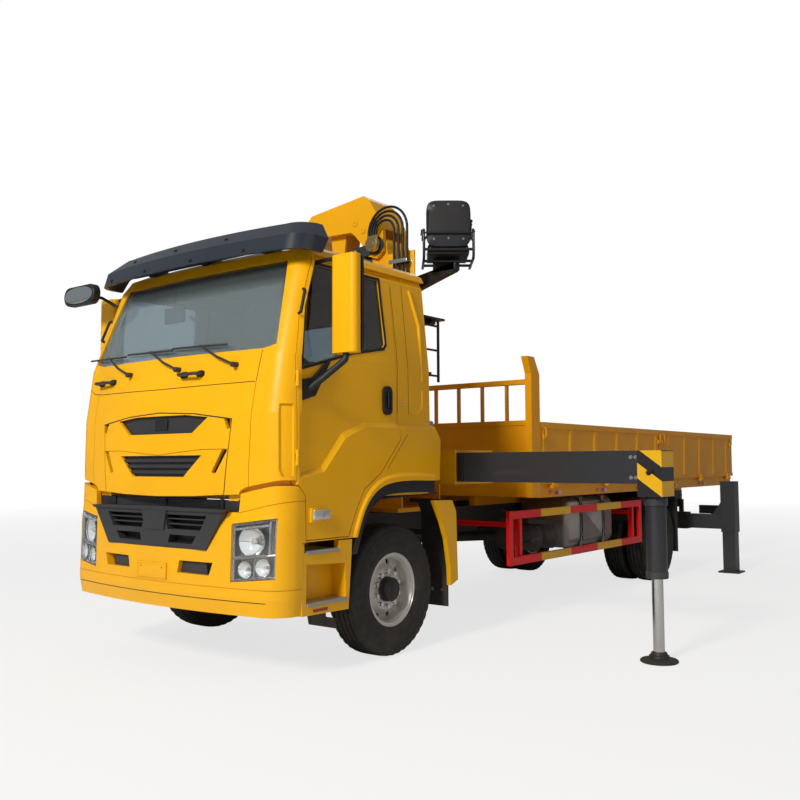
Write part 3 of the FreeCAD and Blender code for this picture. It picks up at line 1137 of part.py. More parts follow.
def lift_barrel():
    barrel = cylinder_barrel(LIFT_FOOT, LIFT_EYE, LIFT_R, LIFT_ROD_R, 830, 84)
    return barrel.cut(cyl(34 + PIN_CLEAR, (LIFT_FOOT_X, CRANE_Y - 200, LIFT_FOOT_Z),
                          (LIFT_FOOT_X, CRANE_Y + 200, LIFT_FOOT_Z)))


def fold_barrel():
    barrel = cylinder_barrel(FOLD_FOOT, FOLD_EYE, FOLD_R, FOLD_ROD_R, 680, 78)
    return barrel.cut(cyl(30 + PIN_CLEAR, (FOLD_FOOT_X, CRANE_Y - 200, FOLD_FOOT_Z),
                          (FOLD_FOOT_X, CRANE_Y + 200, FOLD_FOOT_Z)))


def outer_boom():
    """Folding boom: bell crank root in the knee's fork, then an open-ended box tube."""
    z0, z1 = KNEE_Z - 88, KNEE_Z + 172
    root = cyl(88, (KNEE_X, CRANE_Y - HEAD_HALF, KNEE_Z), (KNEE_X, CRANE_Y + HEAD_HALF, KNEE_Z))
    beam = box(TIP_X, KNEE_X - 320, CRANE_Y - 130, CRANE_Y + 130, z0, z1)
    neck = prism_y([(KNEE_X - 321, z0), (KNEE_X - 321, z1), (KNEE_X - 200, z1), (KNEE_X + 10, KNEE_Z + 87),
                    (KNEE_X + 10, KNEE_Z - 87)], CRANE_Y - 130, CRANE_Y + 130)
    horn = prism_y([(KNEE_X - 420, z0 + 1), (KNEE_X - 110, z0 + 1), (FOLD_EYE_X + 75, FOLD_EYE_Z - 20),
                    (FOLD_EYE_X + 40, FOLD_EYE_Z - 62), (FOLD_EYE_X - 50, FOLD_EYE_Z - 62)], CRANE_Y - 100,
                   CRANE_Y + 100)
    body = fuse_all([root, beam, neck, horn])
    body = body.cut(cyl(42 + PIN_CLEAR, (KNEE_X, CRANE_Y - 300, KNEE_Z), (KNEE_X, CRANE_Y + 300, KNEE_Z)))
    rod_way = prism_y([(KNEE_X - 345, KNEE_Z - 300), (KNEE_X - 345, KNEE_Z + 20), (KNEE_X - 60, KNEE_Z + 20),
                       (KNEE_X - 60, KNEE_Z - 60), (KNEE_X + 100, KNEE_Z - 72), (KNEE_X + 100, KNEE_Z - 300)],
                      CRANE_Y - 60, CRANE_Y + 60)
    rod_way = rod_way.cut(cyl(74, (KNEE_X, CRANE_Y - 200, KNEE_Z), (KNEE_X, CRANE_Y + 200, KNEE_Z)))
    body = body.cut(rod_way)
    pins = [cyl(30, (FOLD_EYE_X, CRANE_Y + a, FOLD_EYE_Z), (FOLD_EYE_X, CRANE_Y + b, FOLD_EYE_Z))
            for a, b in ((-112, -59), (59, 112))]
    hollow = box(TIP_X - 10, KNEE_X - 350, CRANE_Y - TUBE_HALF, CRANE_Y + TUBE_HALF, TUBE_Z - TUBE_HALF,
                 TUBE_Z + TUBE_HALF)
    return fuse_all([body] + pins).cut(hollow)


def telescope():
    """Middle section of the boom: a square tube that slides in the outer boom."""
    half = TUBE_HALF - TELE_CLEAR
    bore = half - TELE_WALL
    body = box(TIP_X - 30, TELE_X1, CRANE_Y - half, CRANE_Y + half, TUBE_Z - half, TUBE_Z + half)
    return body.cut(box(TIP_X - 50, TELE_X1 + 10, CRANE_Y - bore, CRANE_Y + bore, TUBE_Z - bore,
                        TUBE_Z + bore))


def boom_tip():
    """Last section: a closed box with a forked nose that carries the hook's pin."""
    half = TUBE_HALF - 2 * TELE_CLEAR - TELE_WALL
    body = box(TIP_X - 60, TELE_X1, CRANE_Y - half, CRANE_Y + half, TUBE_Z - half, TUBE_Z + half)
    nose = prism_y([(TIP_X - 59, TUBE_Z + half - 10), (HOOK_X + 40, HOOK_Z + 70), (HOOK_X - 48, HOOK_Z + 30),
                    (HOOK_X - 48, HOOK_Z - 40), (HOOK_X + 20, HOOK_Z - 52), (TIP_X - 59, TUBE_Z - half + 10)],
                   CRANE_Y - 60, CRANE_Y + 60)
    nose = nose.cut(box(HOOK_X - 200, HOOK_X + 70, CRANE_Y - 26, CRANE_Y + 26, 3000, 4200))
    return body.fuse(nose).cut(cyl(24 + PIN_CLEAR, (HOOK_X, CRANE_Y - 90, HOOK_Z),
                                   (HOOK_X, CRANE_Y + 90, HOOK_Z)))


def hook():
    """Swivel hook hanging from the nose pin."""
    pin = cyl(24, (HOOK_X, CRANE_Y - 66, HOOK_Z), (HOOK_X, CRANE_Y + 66, HOOK_Z))
    link = box(HOOK_X - 26, HOOK_X + 26, CRANE_Y - 20, CRANE_Y + 20, HOOK_Z - 170, HOOK_Z + 30)
    block = cyl(45, (HOOK_X, CRANE_Y, HOOK_Z - 230), (HOOK_X, CRANE_Y, HOOK_Z - 165))
    c = V(HOOK_X, CRANE_Y, HOOK_Z - 335)
    r = 62.0
    start, mid, end = (V(c.x + r * math.sin(a), c.y, c.z + r * math.cos(a)) for a in (0.0, 2.6, 4.5))
    path = Part.Wire([Part.LineSegment(V(c.x, c.y, HOOK_Z - 229), start).toShape(),
                      Part.Arc(start, mid, end).toShape()])
    ring = Part.Wire(Part.makeCircle(22, V(c.x, c.y, HOOK_Z - 229), V(0, 0, -1)))
    shank = path.makePipeShell([ring], True, False, 2)
    return fuse_all([pin, link, block, shank])


def operator_station():
    """Seat with back and tubular frame, bracket, foot plate and ladder, carried by the column."""
    x, y = 800.0, 1330.0
    seat = box(x - 210, x + 210, y - 215, y + 215, 3560, 3640)
    back = box(x + 170, x + 225, y - 210, y + 210, 3590, 4035)
    back = back.makeFillet(60, [e for e in back.Edges if abs(e.Length - 55) < 0.5])
    pan = box(x - 200, x + 220, y - 200, y + 200, 3520, 3561)
    frame = [pipe([(x - 230, y + s * 235, 3480), (x + 245, y + s * 235, 3480), (x + 245, y + s * 235, 3760),
                   (x - 180, y + s * 235, 3760)], 13, 45) for s in (-1, 1)]
    cross = [cyl(13, (x + xx, y - 236, 3480), (x + xx, y + 236, 3480)) for xx in (-100, 100)]
    stem = box(x - 150, x + 120, y - 40, y + 40, 3400, 3525)
    arm = prism_y([(CRANE_X + 60, 3200), (CRANE_X + 60, 3360), (x + 100, 3470), (x + 100, 3390),
                   (x - 100, 3330)],
                  y - 40, y + 40)
    chair = fuse_all([seat, pan, back] + frame + cross)
    chair.rotate(V(x, y, 0), V(0, 0, 1), SEAT_TURN)
    return fuse_all([chair, stem, arm]).cut(column_mast())


def ladder():
    x, y = 640.0, 1240.0
    plate = box(x - 120, x + 70, y - 170, y + 170, 2930, 2950)
    hanger = box(CRANE_X + 60, x + 60, y - 25, y + 25, 2880, 2931)
    rails = [cyl(14, (x, y + s * 150, 2330), (x, y + s * 150, 2935)) for s in (-1, 1)]
    rungs = [cyl(11, (x, y - 150, z), (x, y + 150, z)) for z in (2390, 2640, 2880)]
    foot = box(CRANE_X + 60, x + 8, y - 25, y + 25, 2380, 2420)
    return fuse_all([plate, hanger, foot] + rails + rungs).cut(column_mast())


# ---- outriggers -------------------------------------------------------------------------
def outrigger_beam(side):
    """Front beam: slides in its tube and ends in a head that holds the jack's tube."""
    y = BEAM_LEFT_Y if side > 0 else BEAM_RIGHT_Y
    y0, y1 = y - BEAM_HALF_Y, y + BEAM_HALF_Y
    beam = box(560, JACK_X - 85, y0, y1, BEAM_Z0, BEAM_Z1)
    beam = beam.cut(box(550, JACK_X - 200, y0 + 14, y1 - 14, BEAM_Z0 + 14, BEAM_Z1 - 14))
    head = box(JACK_X - 95, JACK_X + 105, y0 - 5, y1 + 5, 1272, BEAM_Z1)
    leg = cyl(JACK_TUBE_R, (JACK_X, y, 640), (JACK_X, y, 1273))
    shape = fuse_all([beam, head, leg])
    shape = shape.cut(cyl(JACK_ROD_R + PIN_CLEAR, (JACK_X, y, 600), (JACK_X, y, 1600)))
    return shape if side > 0 else mirror(shape)


def jack(side):
    y = BEAM_LEFT_Y if side > 0 else BEAM_RIGHT_Y
    rod = cyl(JACK_ROD_R, (JACK_X, y, 20), (JACK_X, y, 950))
    pad = Part.makeCone(PAD_R, 70, 58, V(JACK_X, y, PAD_H), V(0, 0, 1))
    base = cyl(PAD_R, (JACK_X, y, 0), (JACK_X, y, PAD_H))
    shape = fuse_all([rod, pad, base])
    return shape if side > 0 else mirror(shape)


def rear_crossbox():
    """Fixed tube across the frame that the rear beams slide in, hung from the rails."""
    y0, y1 = REAR_LEG_Y - 75 - SLIDE_CLEAR, REAR_LEG_Y + 75 + SLIDE_CLEAR
    z0, z1 = REAR_BEAM_Z0 - SLIDE_CLEAR, REAR_BEAM_Z1 + SLIDE_CLEAR
    outer = box(-1080, 1080, y0 - 14, y1 + 14, z0 - 14, RAIL_Z0)
    return outer.cut(box(-1090, 1090, y0, y1, z0, z1))


def rear_beam(side):
    y0, y1 = REAR_LEG_Y - 75, REAR_LEG_Y + 75
    beam = box(400, REAR_LEG_X - LEG_HALF - 10, y0, y1, REAR_BEAM_Z0, REAR_BEAM_Z1)
    beam = beam.cut(box(390, REAR_LEG_X - LEG_HALF - 120, y0 + 10, y1 - 10, REAR_BEAM_Z0 + 10,
                        REAR_BEAM_Z1 - 10))
    out = LEG_HALF + SLIDE_CLEAR + 12
    way = LEG_HALF + SLIDE_CLEAR
    leg = box(REAR_LEG_X - out, REAR_LEG_X + out, REAR_LEG_Y - out, REAR_LEG_Y + out, 560, 1265)
    leg = leg.cut(box(REAR_LEG_X - way, REAR_LEG_X + way, REAR_LEG_Y - way, REAR_LEG_Y + way, 500, 1250))
    gusset = prism_y([(1430, REAR_BEAM_Z1 - 1), (REAR_LEG_X - out + 1, REAR_BEAM_Z1 - 1),
                      (REAR_LEG_X - out + 1, 1010)],
                     REAR_LEG_Y - 12, REAR_LEG_Y + 12)
    shape = fuse_all([beam, leg, gusset])
    return shape if side > 0 else mirror(shape)


def rear_leg(side):
    leg = box(REAR_LEG_X - LEG_HALF, REAR_LEG_X + LEG_HALF, REAR_LEG_Y - LEG_HALF, REAR_LEG_Y + LEG_HALF,
              20, 790)
    foot = box(REAR_LEG_X - 140, REAR_LEG_X + 140, REAR_LEG_Y - 140, REAR_LEG_Y + 140, 0, 22)
    shape = leg.fuse(foot)
    return shape if side > 0 else mirror(shape)


# ---- assembly ---------------------------------------------------------------------------
def save_truck():
    save("chassis_frame", [chassis_frame(), tail_bar(), rear_crossbox()])
    save("powertrain", powertrain())
    save("axles", front_axle() + rear_axle())
    save("cab_shell", cab_shell())
    save("cab_glass", cab_glass())
    save("cab_interior", cab_interior())
    save("sun_visor", sun_visor())
    save("bumper", [bumper()] + both(step_panel()))
    save("nose_panel", nose_panel())
    save("front_trim", grille() + cab_trim())
    save("headlamps", headlamps())
    save("mudguards", both(arch_band(900, 1180)) + both(arch_lip()) + [fender(1), fender(-1)] + rear_flaps())
    save("front_fenders", both(fender_panel()))
    save("side_guards", both(side_guard()))
    save("side_tanks", [fuel_tank()] + air_tanks())
    save("cargo_bed", [bed_floor()] + hinge_pins())
    save("headboard", headboard())
    save("crane_base", crane_base())


def save_wheels():
    for side, name in ((1, "left"), (-1, "right")):
        save("knuckle_" + name, knuckle(side))
        save("front_rim_" + name, front_wheel_rim(side))
        save("front_tyre_" + name, tyre(side * FRONT_WHEEL_X, 0))
        save("rear_rims_" + name, rear_wheel_rims(side))
        save("rear_tyres_" + name, [tyre(side * REAR_OUTER_X, WHEELBASE),
                                    tyre(side * REAR_INNER_X, WHEELBASE)])


def save_openers():
    for side, name in ((1, "left"), (-1, "right")):
        save("door_" + name, [door(side), mirror_housing(side)])
        save("door_glass_" + name, door_glass(side))
        save("door_trim_" + name, door_trim(side))
        save("side_front_" + name, drop_side(side, BED_Y0 + GAP, BED_SPLIT_Y - 45))
        save("side_rear_" + name, drop_side(side, BED_SPLIT_Y + 45, BED_Y1 - 4))
    save("tailgate", tailgate())


def save_crane():
    save("crane_column", crane_column())
    save("operator_station", [operator_station(), ladder()])
    save("inner_boom", inner_boom())
    save("link_plates", link_plates())
    save("lift_barrel", lift_barrel())
    save("lift_rod", cylinder_rod(LIFT_FOOT, LIFT_EYE, LIFT_ROD_R, 300, 50))
    save("fold_barrel", fold_barrel())
    save("fold_rod", cylinder_rod(FOLD_FOOT, FOLD_EYE, FOLD_ROD_R, 630, 50))
    save("outer_boom", outer_boom())
    save("telescope", telescope())
    save("boom_tip", boom_tip())
    save("hook", hook())


def save_outriggers():
    for side, name in ((1, "left"), (-1, "right")):
        save("outrigger_beam_" + name, outrigger_beam(side))
        save("jack_" + name, jack(side))
        save("rear_beam_" + name, rear_beam(side))
        save("rear_leg_" + name, rear_leg(side))


os.makedirs("parts", exist_ok=True)
save_truck()
save_wheels()
save_openers()
save_crane()
save_outriggers()
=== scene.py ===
"""Looks of a knuckle boom crane truck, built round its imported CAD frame."""
import math

import bmesh
import bpy
from mathutils import Matrix, Vector
from mathutils.bvhtree import BVHTree


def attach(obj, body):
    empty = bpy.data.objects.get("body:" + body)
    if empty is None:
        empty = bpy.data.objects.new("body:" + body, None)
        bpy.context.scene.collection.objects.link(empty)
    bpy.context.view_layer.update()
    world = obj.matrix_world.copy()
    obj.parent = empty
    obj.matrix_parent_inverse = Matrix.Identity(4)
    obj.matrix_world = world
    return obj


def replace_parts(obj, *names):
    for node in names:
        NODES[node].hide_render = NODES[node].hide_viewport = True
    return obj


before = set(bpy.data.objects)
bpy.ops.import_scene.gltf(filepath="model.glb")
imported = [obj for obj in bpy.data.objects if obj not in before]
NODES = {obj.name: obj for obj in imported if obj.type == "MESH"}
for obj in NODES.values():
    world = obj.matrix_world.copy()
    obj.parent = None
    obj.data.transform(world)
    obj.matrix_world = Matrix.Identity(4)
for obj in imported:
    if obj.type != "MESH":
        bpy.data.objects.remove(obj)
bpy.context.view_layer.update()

# ---- camera ---------------------------------------------------------------------------------
# It stands at head height off the truck's front left corner and looks slightly up.
# Lengths in this file are metres from the front axle, as in the part's own drawing: X to the
# truck's left, Y to its back, Z up. at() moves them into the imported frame.


AXLE_TO_MIDDLE = 3.5775


def at(x, y, z):
    return Vector((x, y - AXLE_TO_MIDDLE, z))


def linked(name, data):
    """New object in the scene that shows the given data."""
    obj = bpy.data.objects.new(name, data)
    bpy.context.scene.collection.objects.link(obj)
    return obj


camera_data = bpy.data.cameras.new("camera")
camera_data.sensor_width = 36.0
camera_data.lens = 39.52
camera_data.clip_end = 200.0
camera = linked("camera", camera_data)
camera.matrix_world = (Matrix.Translation(at(5.601, -5.631, 1.546))
                       @ Matrix.Rotation(math.radians(37.76), 4, "Z")
                       @ Matrix.Rotation(math.radians(94.07), 4, "X")
                       @ Matrix.Rotation(math.radians(-0.23), 4, "Z"))
bpy.context.scene.camera = camera

# ---- chassis rails --------------------------------------------------------------------------
# Two pressed channel rails with cross members, brushed with black frame paint that the road
# has dusted. Flanged bolts hold the cross members and spring hangers to the webs.


def socket(group, name, kind, is_input, default=None):
    s = group.interface.new_socket(name=name, in_out="INPUT" if is_input else "OUTPUT", socket_type=kind)
    if default is not None:
        s.default_value = default
    return s


class Wires:
    """Short calls that add nodes to one node tree and link them."""

    def __init__(self, tree):
        self.tree = tree

    def add(self, kind, inputs=None, **settings):
        node = self.tree.nodes.new(kind)
        for key, value in settings.items():
            setattr(node, key, value)
        for key, value in (inputs or {}).items():
            self.feed(node.inputs[key], value)
        return node

    def feed(self, target, value):
        if isinstance(value, bpy.types.NodeSocket):
            self.tree.links.new(value, target)
        else:
            target.default_value = value

    def math(self, op, a, b=0.0, clamp=False):
        return self.add("ShaderNodeMath", {0: a, 1: b}, operation=op, use_clamp=clamp).outputs[0]

    def remap(self, value, low, high, to_low=0.0, to_high=1.0):
        node = self.add("ShaderNodeMapRange", {"Value": value, "From Min": low, "From Max": high,
                                               "To Min": to_low, "To Max": to_high}, clamp=True)
        return node.outputs["Result"]

    def mix(self, factor, a, b):
        node = self.add("ShaderNodeMix", data_type="RGBA")
        for index, value in ((0, factor), (6, a), (7, b)):
            self.feed(node.inputs[index], value)
        return node.outputs[2]

    def noise(self, vector, scale, detail=3.0, rough=0.5):
        return self.add("ShaderNodeTexNoise", {"Vector": vector, "Scale": scale, "Detail": detail,
                                               "Roughness": rough}).outputs["Fac"]

    def bump(self, height, strength, distance, normal=None):
        inputs = {"Height": height, "Strength": strength, "Distance": distance}
        if normal is not None:
            inputs["Normal"] = normal
        return self.add("ShaderNodeBump", inputs).outputs["Normal"]

    def place(self):
        """Object coordinates and their three parts."""
        where = self.add("ShaderNodeTexCoord").outputs["Object"]
        parts = self.add("ShaderNodeSeparateXYZ", {0: where}).outputs
        return where, parts[0], parts[1], parts[2]


def weather_group():
    """Masks of a truck's surface: dust low down and on top, worn edges, uneven colour, streaks."""
    group = bpy.data.node_groups.new("truck_weather", "ShaderNodeTree")
    socket(group, "Wear Radius", "NodeSocketFloat", True, 0.006)
    for name in ("Dust", "Wear", "Mottle", "Streak"):
        socket(group, name, "NodeSocketFloat", False)
    w = Wires(group)
    where, _, _, height = w.place()
    clouds = w.noise(where, 5.5, 5.0, 0.6)
    low = w.remap(height, 0.15, 1.25, 1.0, 0.0)
    flat = w.add("ShaderNodeNewGeometry").outputs["Normal"]
    up = w.add("ShaderNodeSeparateXYZ", {0: flat}).outputs["Z"]
    top = w.math("MULTIPLY", w.remap(up, 0.5, 1.0), 0.35)
    dust = w.math("MULTIPLY", w.math("ADD", low, top), w.remap(clouds, 0.35, 0.75, 0.25, 1.0), True)
    rounded = w.add("ShaderNodeBevel", {"Radius": w.add("NodeGroupInput").outputs[0]}, samples=4)
    bend = w.add("ShaderNodeVectorMath", {0: rounded.outputs["Normal"], 1: flat}, operation="DOT_PRODUCT")
    chips = w.remap(w.noise(where, 42.0, 4.0, 0.7), 0.50, 0.66)
    wear = w.math("MULTIPLY", w.remap(bend.outputs["Value"], 0.985, 0.90), chips)
    tall = w.add("ShaderNodeMapping", {"Vector": where, "Scale": (26.0, 26.0, 1.3)}).outputs[0]
    out = w.add("NodeGroupOutput")
    w.feed(out.inputs["Dust"], dust)
    w.feed(out.inputs["Wear"], wear)
    w.feed(out.inputs["Mottle"], w.noise(where, 1.7, 3.0, 0.55))
    w.feed(out.inputs["Streak"], w.noise(tall, 1.0, 4.0, 0.6))
    return group


def grain_group():
    """Height of a fine moulded or cast surface: cells over soft noise."""
    group = bpy.data.node_groups.new("moulded_grain", "ShaderNodeTree")
    socket(group, "Scale", "NodeSocketFloat", True, 600.0)
    socket(group, "Height", "NodeSocketFloat", False)
    w = Wires(group)
    where = w.place()[0]
    scale = w.add("NodeGroupInput").outputs[0]
    cells = w.add("ShaderNodeTexVoronoi", {"Vector": where, "Scale": scale}).outputs["Distance"]
    soft = w.noise(where, w.math("MULTIPLY", scale, 0.3), 2.0)
    w.feed(w.add("NodeGroupOutput").inputs["Height"], w.math("ADD", cells, w.math("MULTIPLY", soft, 0.6)))
    return group


WEATHER = weather_group()
GRAIN = grain_group()


def material(name, colour, rough, metal=0.0, coat=0.0, dust=0.25, wear=0.0, worn=(0.12, 0.12, 0.12, 1.0),
             mottle=0.06, grain=0.0, grain_scale=600.0, waves=0.0, sheen=0.0):
    """Painted, moulded or cast surface with road dust, worn edges and uneven colour.

    Where the colour isn't plain, as on a striped beam, `colour` is a function that takes the
    wires and gives it.
    """
    mat = bpy.data.materials.new(name)
    mat.use_nodes = True
    w = Wires(mat.node_tree)
    shader = mat.node_tree.nodes["Principled BSDF"]
    where = w.place()[0]
    weather = w.add("ShaderNodeGroup", node_tree=WEATHER)
    if callable(colour):
        shade = w.remap(weather.outputs["Mottle"], 0.3, 0.7, 1.0 - mottle, 1.0)
        base = w.add("ShaderNodeVectorMath", {0: colour(w), 3: shade}, operation="SCALE").outputs[0]
    else:
        dark = tuple(c * (1.0 - 2.2 * mottle) for c in colour) + (1.0,)
        base = w.mix(w.remap(weather.outputs["Mottle"], 0.3, 0.7), dark, (*colour, 1.0))
    if wear > 0:
        base = w.mix(w.math("MULTIPLY", weather.outputs["Wear"], wear), base, worn)
    dirt = w.math("MULTIPLY", weather.outputs["Dust"], dust, True)
    dirt = w.math("MULTIPLY", dirt, w.remap(weather.outputs["Streak"], 0.3, 0.7, 0.6, 1.0))
    w.feed(shader.inputs["Base Color"], w.mix(dirt, base, (0.20, 0.165, 0.12, 1.0)))
    uneven = w.math("MULTIPLY", w.noise(where, 60.0, 3.0), 0.12)
    w.feed(shader.inputs["Roughness"],
           w.math("ADD", w.math("ADD", uneven, rough - 0.06), w.math("MULTIPLY", dirt, 0.45), True))
    shader.inputs["Metallic"].default_value = metal
    shader.inputs["Specular IOR Level"].default_value = 0.32
    shader.inputs["Coat Weight"].default_value = coat
    shader.inputs["Coat Roughness"].default_value = 0.06
    shader.inputs["Sheen Weight"].default_value = sheen
    normal = None
    if waves > 0:
        normal = w.bump(w.noise(where, 2.6, 1.0), 0.35, waves)
    if grain > 0:
        cells = w.add("ShaderNodeGroup", node_tree=GRAIN)
        cells.inputs["Scale"].default_value = grain_scale
        normal = w.bump(cells.outputs[0], 0.5, grain, normal)
    if normal is not None:
        w.feed(shader.inputs["Normal"], normal)
    return mat


def dress(mat, *nodes):
    """Gives CAD nodes their finish, with their shapes as they are."""
    for node in nodes:
        NODES[node].data.materials.clear()
        NODES[node].data.materials.append(mat)


def bolt_tree():
    """Hexagon heads on round washers, one at each point, standing along the point's `facing`."""
    tree = bpy.data.node_groups.new("hex_bolts", "GeometryNodeTree")
    socket(tree, "Places", "NodeSocketGeometry", True)
    for name, size in (("Head Radius", 0.012), ("Head Height", 0.009), ("Washer Radius", 0.016)):
        socket(tree, name, "NodeSocketFloat", True, size)
    socket(tree, "Finish", "NodeSocketMaterial", True)
    socket(tree, "Geometry", "NodeSocketGeometry", False)
    w = Wires(tree)
    given = w.add("NodeGroupInput").outputs
    head = w.add("GeometryNodeMeshCylinder", {"Vertices": 6, "Radius": given["Head Radius"],
                                              "Depth": given["Head Height"]})
    washer = w.add("GeometryNodeMeshCylinder", {"Vertices": 16, "Radius": given["Washer Radius"],
                                                "Depth": w.math("MULTIPLY", given["Head Height"], 0.3)})
    lift = w.add("ShaderNodeCombineXYZ", {"Z": w.math("MULTIPLY", given["Head Height"], 0.5)}).outputs[0]
    raised = w.add("GeometryNodeTransform", {"Geometry": head.outputs["Mesh"], "Translation": lift})
    both_parts = w.add("GeometryNodeJoinGeometry")
    for part in (raised.outputs[0], washer.outputs["Mesh"]):
        tree.links.new(part, both_parts.inputs[0])
    facing = w.add("GeometryNodeInputNamedAttribute", {"Name": "facing"}, data_type="FLOAT_VECTOR")
    turn = w.add("FunctionNodeAlignRotationToVector", {"Vector": facing.outputs["Attribute"]}, axis="Z")
    spread = w.add("GeometryNodeInstanceOnPoints", {"Points": given["Places"],
                                                    "Instance": both_parts.outputs[0],
                                                    "Rotation": turn.outputs[0]})
    solid = w.add("GeometryNodeRealizeInstances", {0: spread.outputs[0]})
    done = w.add("GeometryNodeSetMaterial", {"Geometry": solid.outputs[0], "Material": given["Finish"]})
    w.feed(w.add("NodeGroupOutput").inputs[0], done.outputs[0])
    return tree


def plain_mesh(obj):
    """The object's mesh with its modifiers worked in."""
    return bpy.data.meshes.new_from_object(obj.evaluated_get(bpy.context.evaluated_depsgraph_get()))


def grown(name, tree, places, body, slot, **sizes):
    """Runs a tree on (point, facing) pairs and keeps its result as one plain mesh on a body."""
    mesh = bpy.data.meshes.new(name)
    mesh.from_pydata([point for point, _ in places], [], [])
    facing = mesh.attributes.new("facing", "FLOAT_VECTOR", "POINT")
    for item, (_, direction) in zip(facing.data, places):
        item.vector = direction
    obj = linked(name, mesh)
    maker = obj.modifiers.new("maker", "NODES")
    maker.node_group = tree
    for item in tree.interface.items_tree:
        key = item.name.lower().replace(" ", "_")
        if item.in_out == "INPUT" and key in sizes:
            maker[item.identifier] = sizes[key]
    bpy.context.view_layer.update()
    made = plain_mesh(obj)
    obj.modifiers.clear()
    obj.data = made
    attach(obj, body)
    return obj


mat_frame = material("frame_paint", (0.020, 0.020, 0.022), 0.50, dust=0.40, wear=0.3,
                     worn=(0.10, 0.07, 0.05, 1.0))
dress(mat_frame, "chassis_frame")
mat_bolt = material("bolt_steel", (0.30, 0.29, 0.28), 0.38, metal=0.8, dust=0.35)
BOLTS = bolt_tree()
WEB_X = 0.4305
rail_bolts = []
for y in (-1.105, 1.695, 2.945, 4.345, 6.345, 7.445, 8.465):
    for dy, z in ((-0.03, 0.90), (0.03, 0.90), (-0.03, 1.0), (0.03, 1.0)):
        for side in (-1, 1):
            rail_bolts.append((at(side * WEB_X, y + dy, z), (side, 0, 0)))
grown("rail_bolts", BOLTS, rail_bolts, "truck", "frame_paint", finish=mat_bolt)

# ---- axles and engine -----------------------------------------------------------------------
# A forged front beam, a cast rear axle housing on leaf springs, and the engine and gearbox as
# one dark casting. Cast iron is left rough and takes the most road dust.
mat_cast = material("cast_steel", (0.030, 0.029, 0.028), 0.60, metal=0.35, dust=0.45, grain=0.0006,
                    grain_scale=150.0)
dress(mat_cast, "axles", "powertrain", "knuckle_left", "knuckle_right")

# ---- wheels ---------------------------------------------------------------------------------
# Steel disc wheels in silver paint with ten plated nuts round a dark cast hub; the radial
# tyres have four grooves round the tread and small slots across their shoulders. A ring of the
# cast brake drum shows behind each wheel.


MERGE = 1e-5


def new_piece(name, bm, mat, body, angle=35.0):
    """Closes, turns outwards and shades a mesh, and puts it on a body."""
    bmesh.ops.remove_doubles(bm, verts=bm.verts, dist=MERGE)
    bmesh.ops.recalc_face_normals(bm, faces=bm.faces)
    mesh = bpy.data.meshes.new(name)
    bm.to_mesh(mesh)
    bm.free()
    mesh.shade_smooth()
    mesh.set_sharp_from_angle(angle=math.radians(angle))
    mesh.materials.append(mat)
    obj = linked(name, mesh)
    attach(obj, body)
    return obj


def turn_on(bm, centre, axis, profile, steps=48, ring=False, notch=None):
    """Turns (radius, along) points round an axis.

    `ring` joins the last point to the first, and `notch` gives how deep each vertex is cut in.
    """
    axis = Vector(axis).normalized()
    across = axis.orthogonal().normalized()
    third = axis.cross(across)
    loops = []
    for k, (radius, along) in enumerate(profile):
        middle = centre + axis * along
        if radius < 1e-6:
            loops.append([bm.verts.new(middle)] * steps)
            continue
        loop = []
        for i in range(steps):
            a = 2 * math.pi * i / steps
            r = radius - (notch(k, i) if notch else 0.0)
            loop.append(bm.verts.new(middle + (across * math.cos(a) + third * math.sin(a)) * r))
        loops.append(loop)
    pairs = list(zip(loops, loops[1:] + loops[:1])) if ring else list(zip(loops, loops[1:]))
    for low, high in pairs:
        for i in range(steps):
            j = (i + 1) % steps
            corners = []
            for v in (low[i], low[j], high[j], high[i]):
                if v not in corners:
                    corners.append(v)
            if len(corners) > 2:
                bm.faces.new(corners)


def rubber_colour(w):
    """Black rubber with paler scuffs."""
    where = w.place()[0]
    scuffs = w.remap(w.noise(where, 14.0, 5.0, 0.65), 0.45, 0.8)
    return w.mix(w.math("MULTIPLY", scuffs, 0.6), (0.016, 0.016, 0.017, 1.0), (0.045, 0.043, 0.040, 1.0))


TYRE_RADIUS = 0.525
mat_rubber = material("tyre_rubber", rubber_colour, 0.66, dust=0.20, grain=0.0004, grain_scale=240.0)
half_tread = [(0.292, 0.100), (0.298, 0.112), (0.322, 0.124), (0.345, 0.1285), (0.350, 0.1315),
              (0.360, 0.1325), (0.366, 0.130), (0.400, 0.1338), (0.430, 0.1340), (0.446, 0.1300),
              (0.452, 0.1330), (0.462, 0.1325), (0.467, 0.1288), (0.490, 0.1268), (0.508, 0.1215),
              (0.5195, 0.108), (0.5236, 0.0757), (0.510, 0.0745), (0.510, 0.0655), (0.5242, 0.0643),
              (0.5248, 0.0300), (0.510, 0.0288), (0.510, 0.0198), (TYRE_RADIUS, 0.0186)]
TREAD = [(r, -x) for r, x in half_tread] + [(r, x) for r, x in reversed(half_tread)]
SHOULDER = {k for k, (_, x) in enumerate(TREAD) if abs(x) in (0.1215, 0.108)}


def shoulder_slots(k, i):
    return 0.007 if k in SHOULDER and i % 3 == 0 else 0.0


mat_rim = material("rim_silver", (0.66, 0.65, 0.62), 0.34, metal=0.35, coat=0.2, dust=0.16, wear=0.2,
                   worn=(0.12, 0.08, 0.05, 1.0))
mat_hub = material("hub_casting", (0.022, 0.022, 0.024), 0.45, metal=0.3, dust=0.3)
mat_plated = material("plated_steel", (0.72, 0.72, 0.70), 0.22, metal=1.0, dust=0.12)
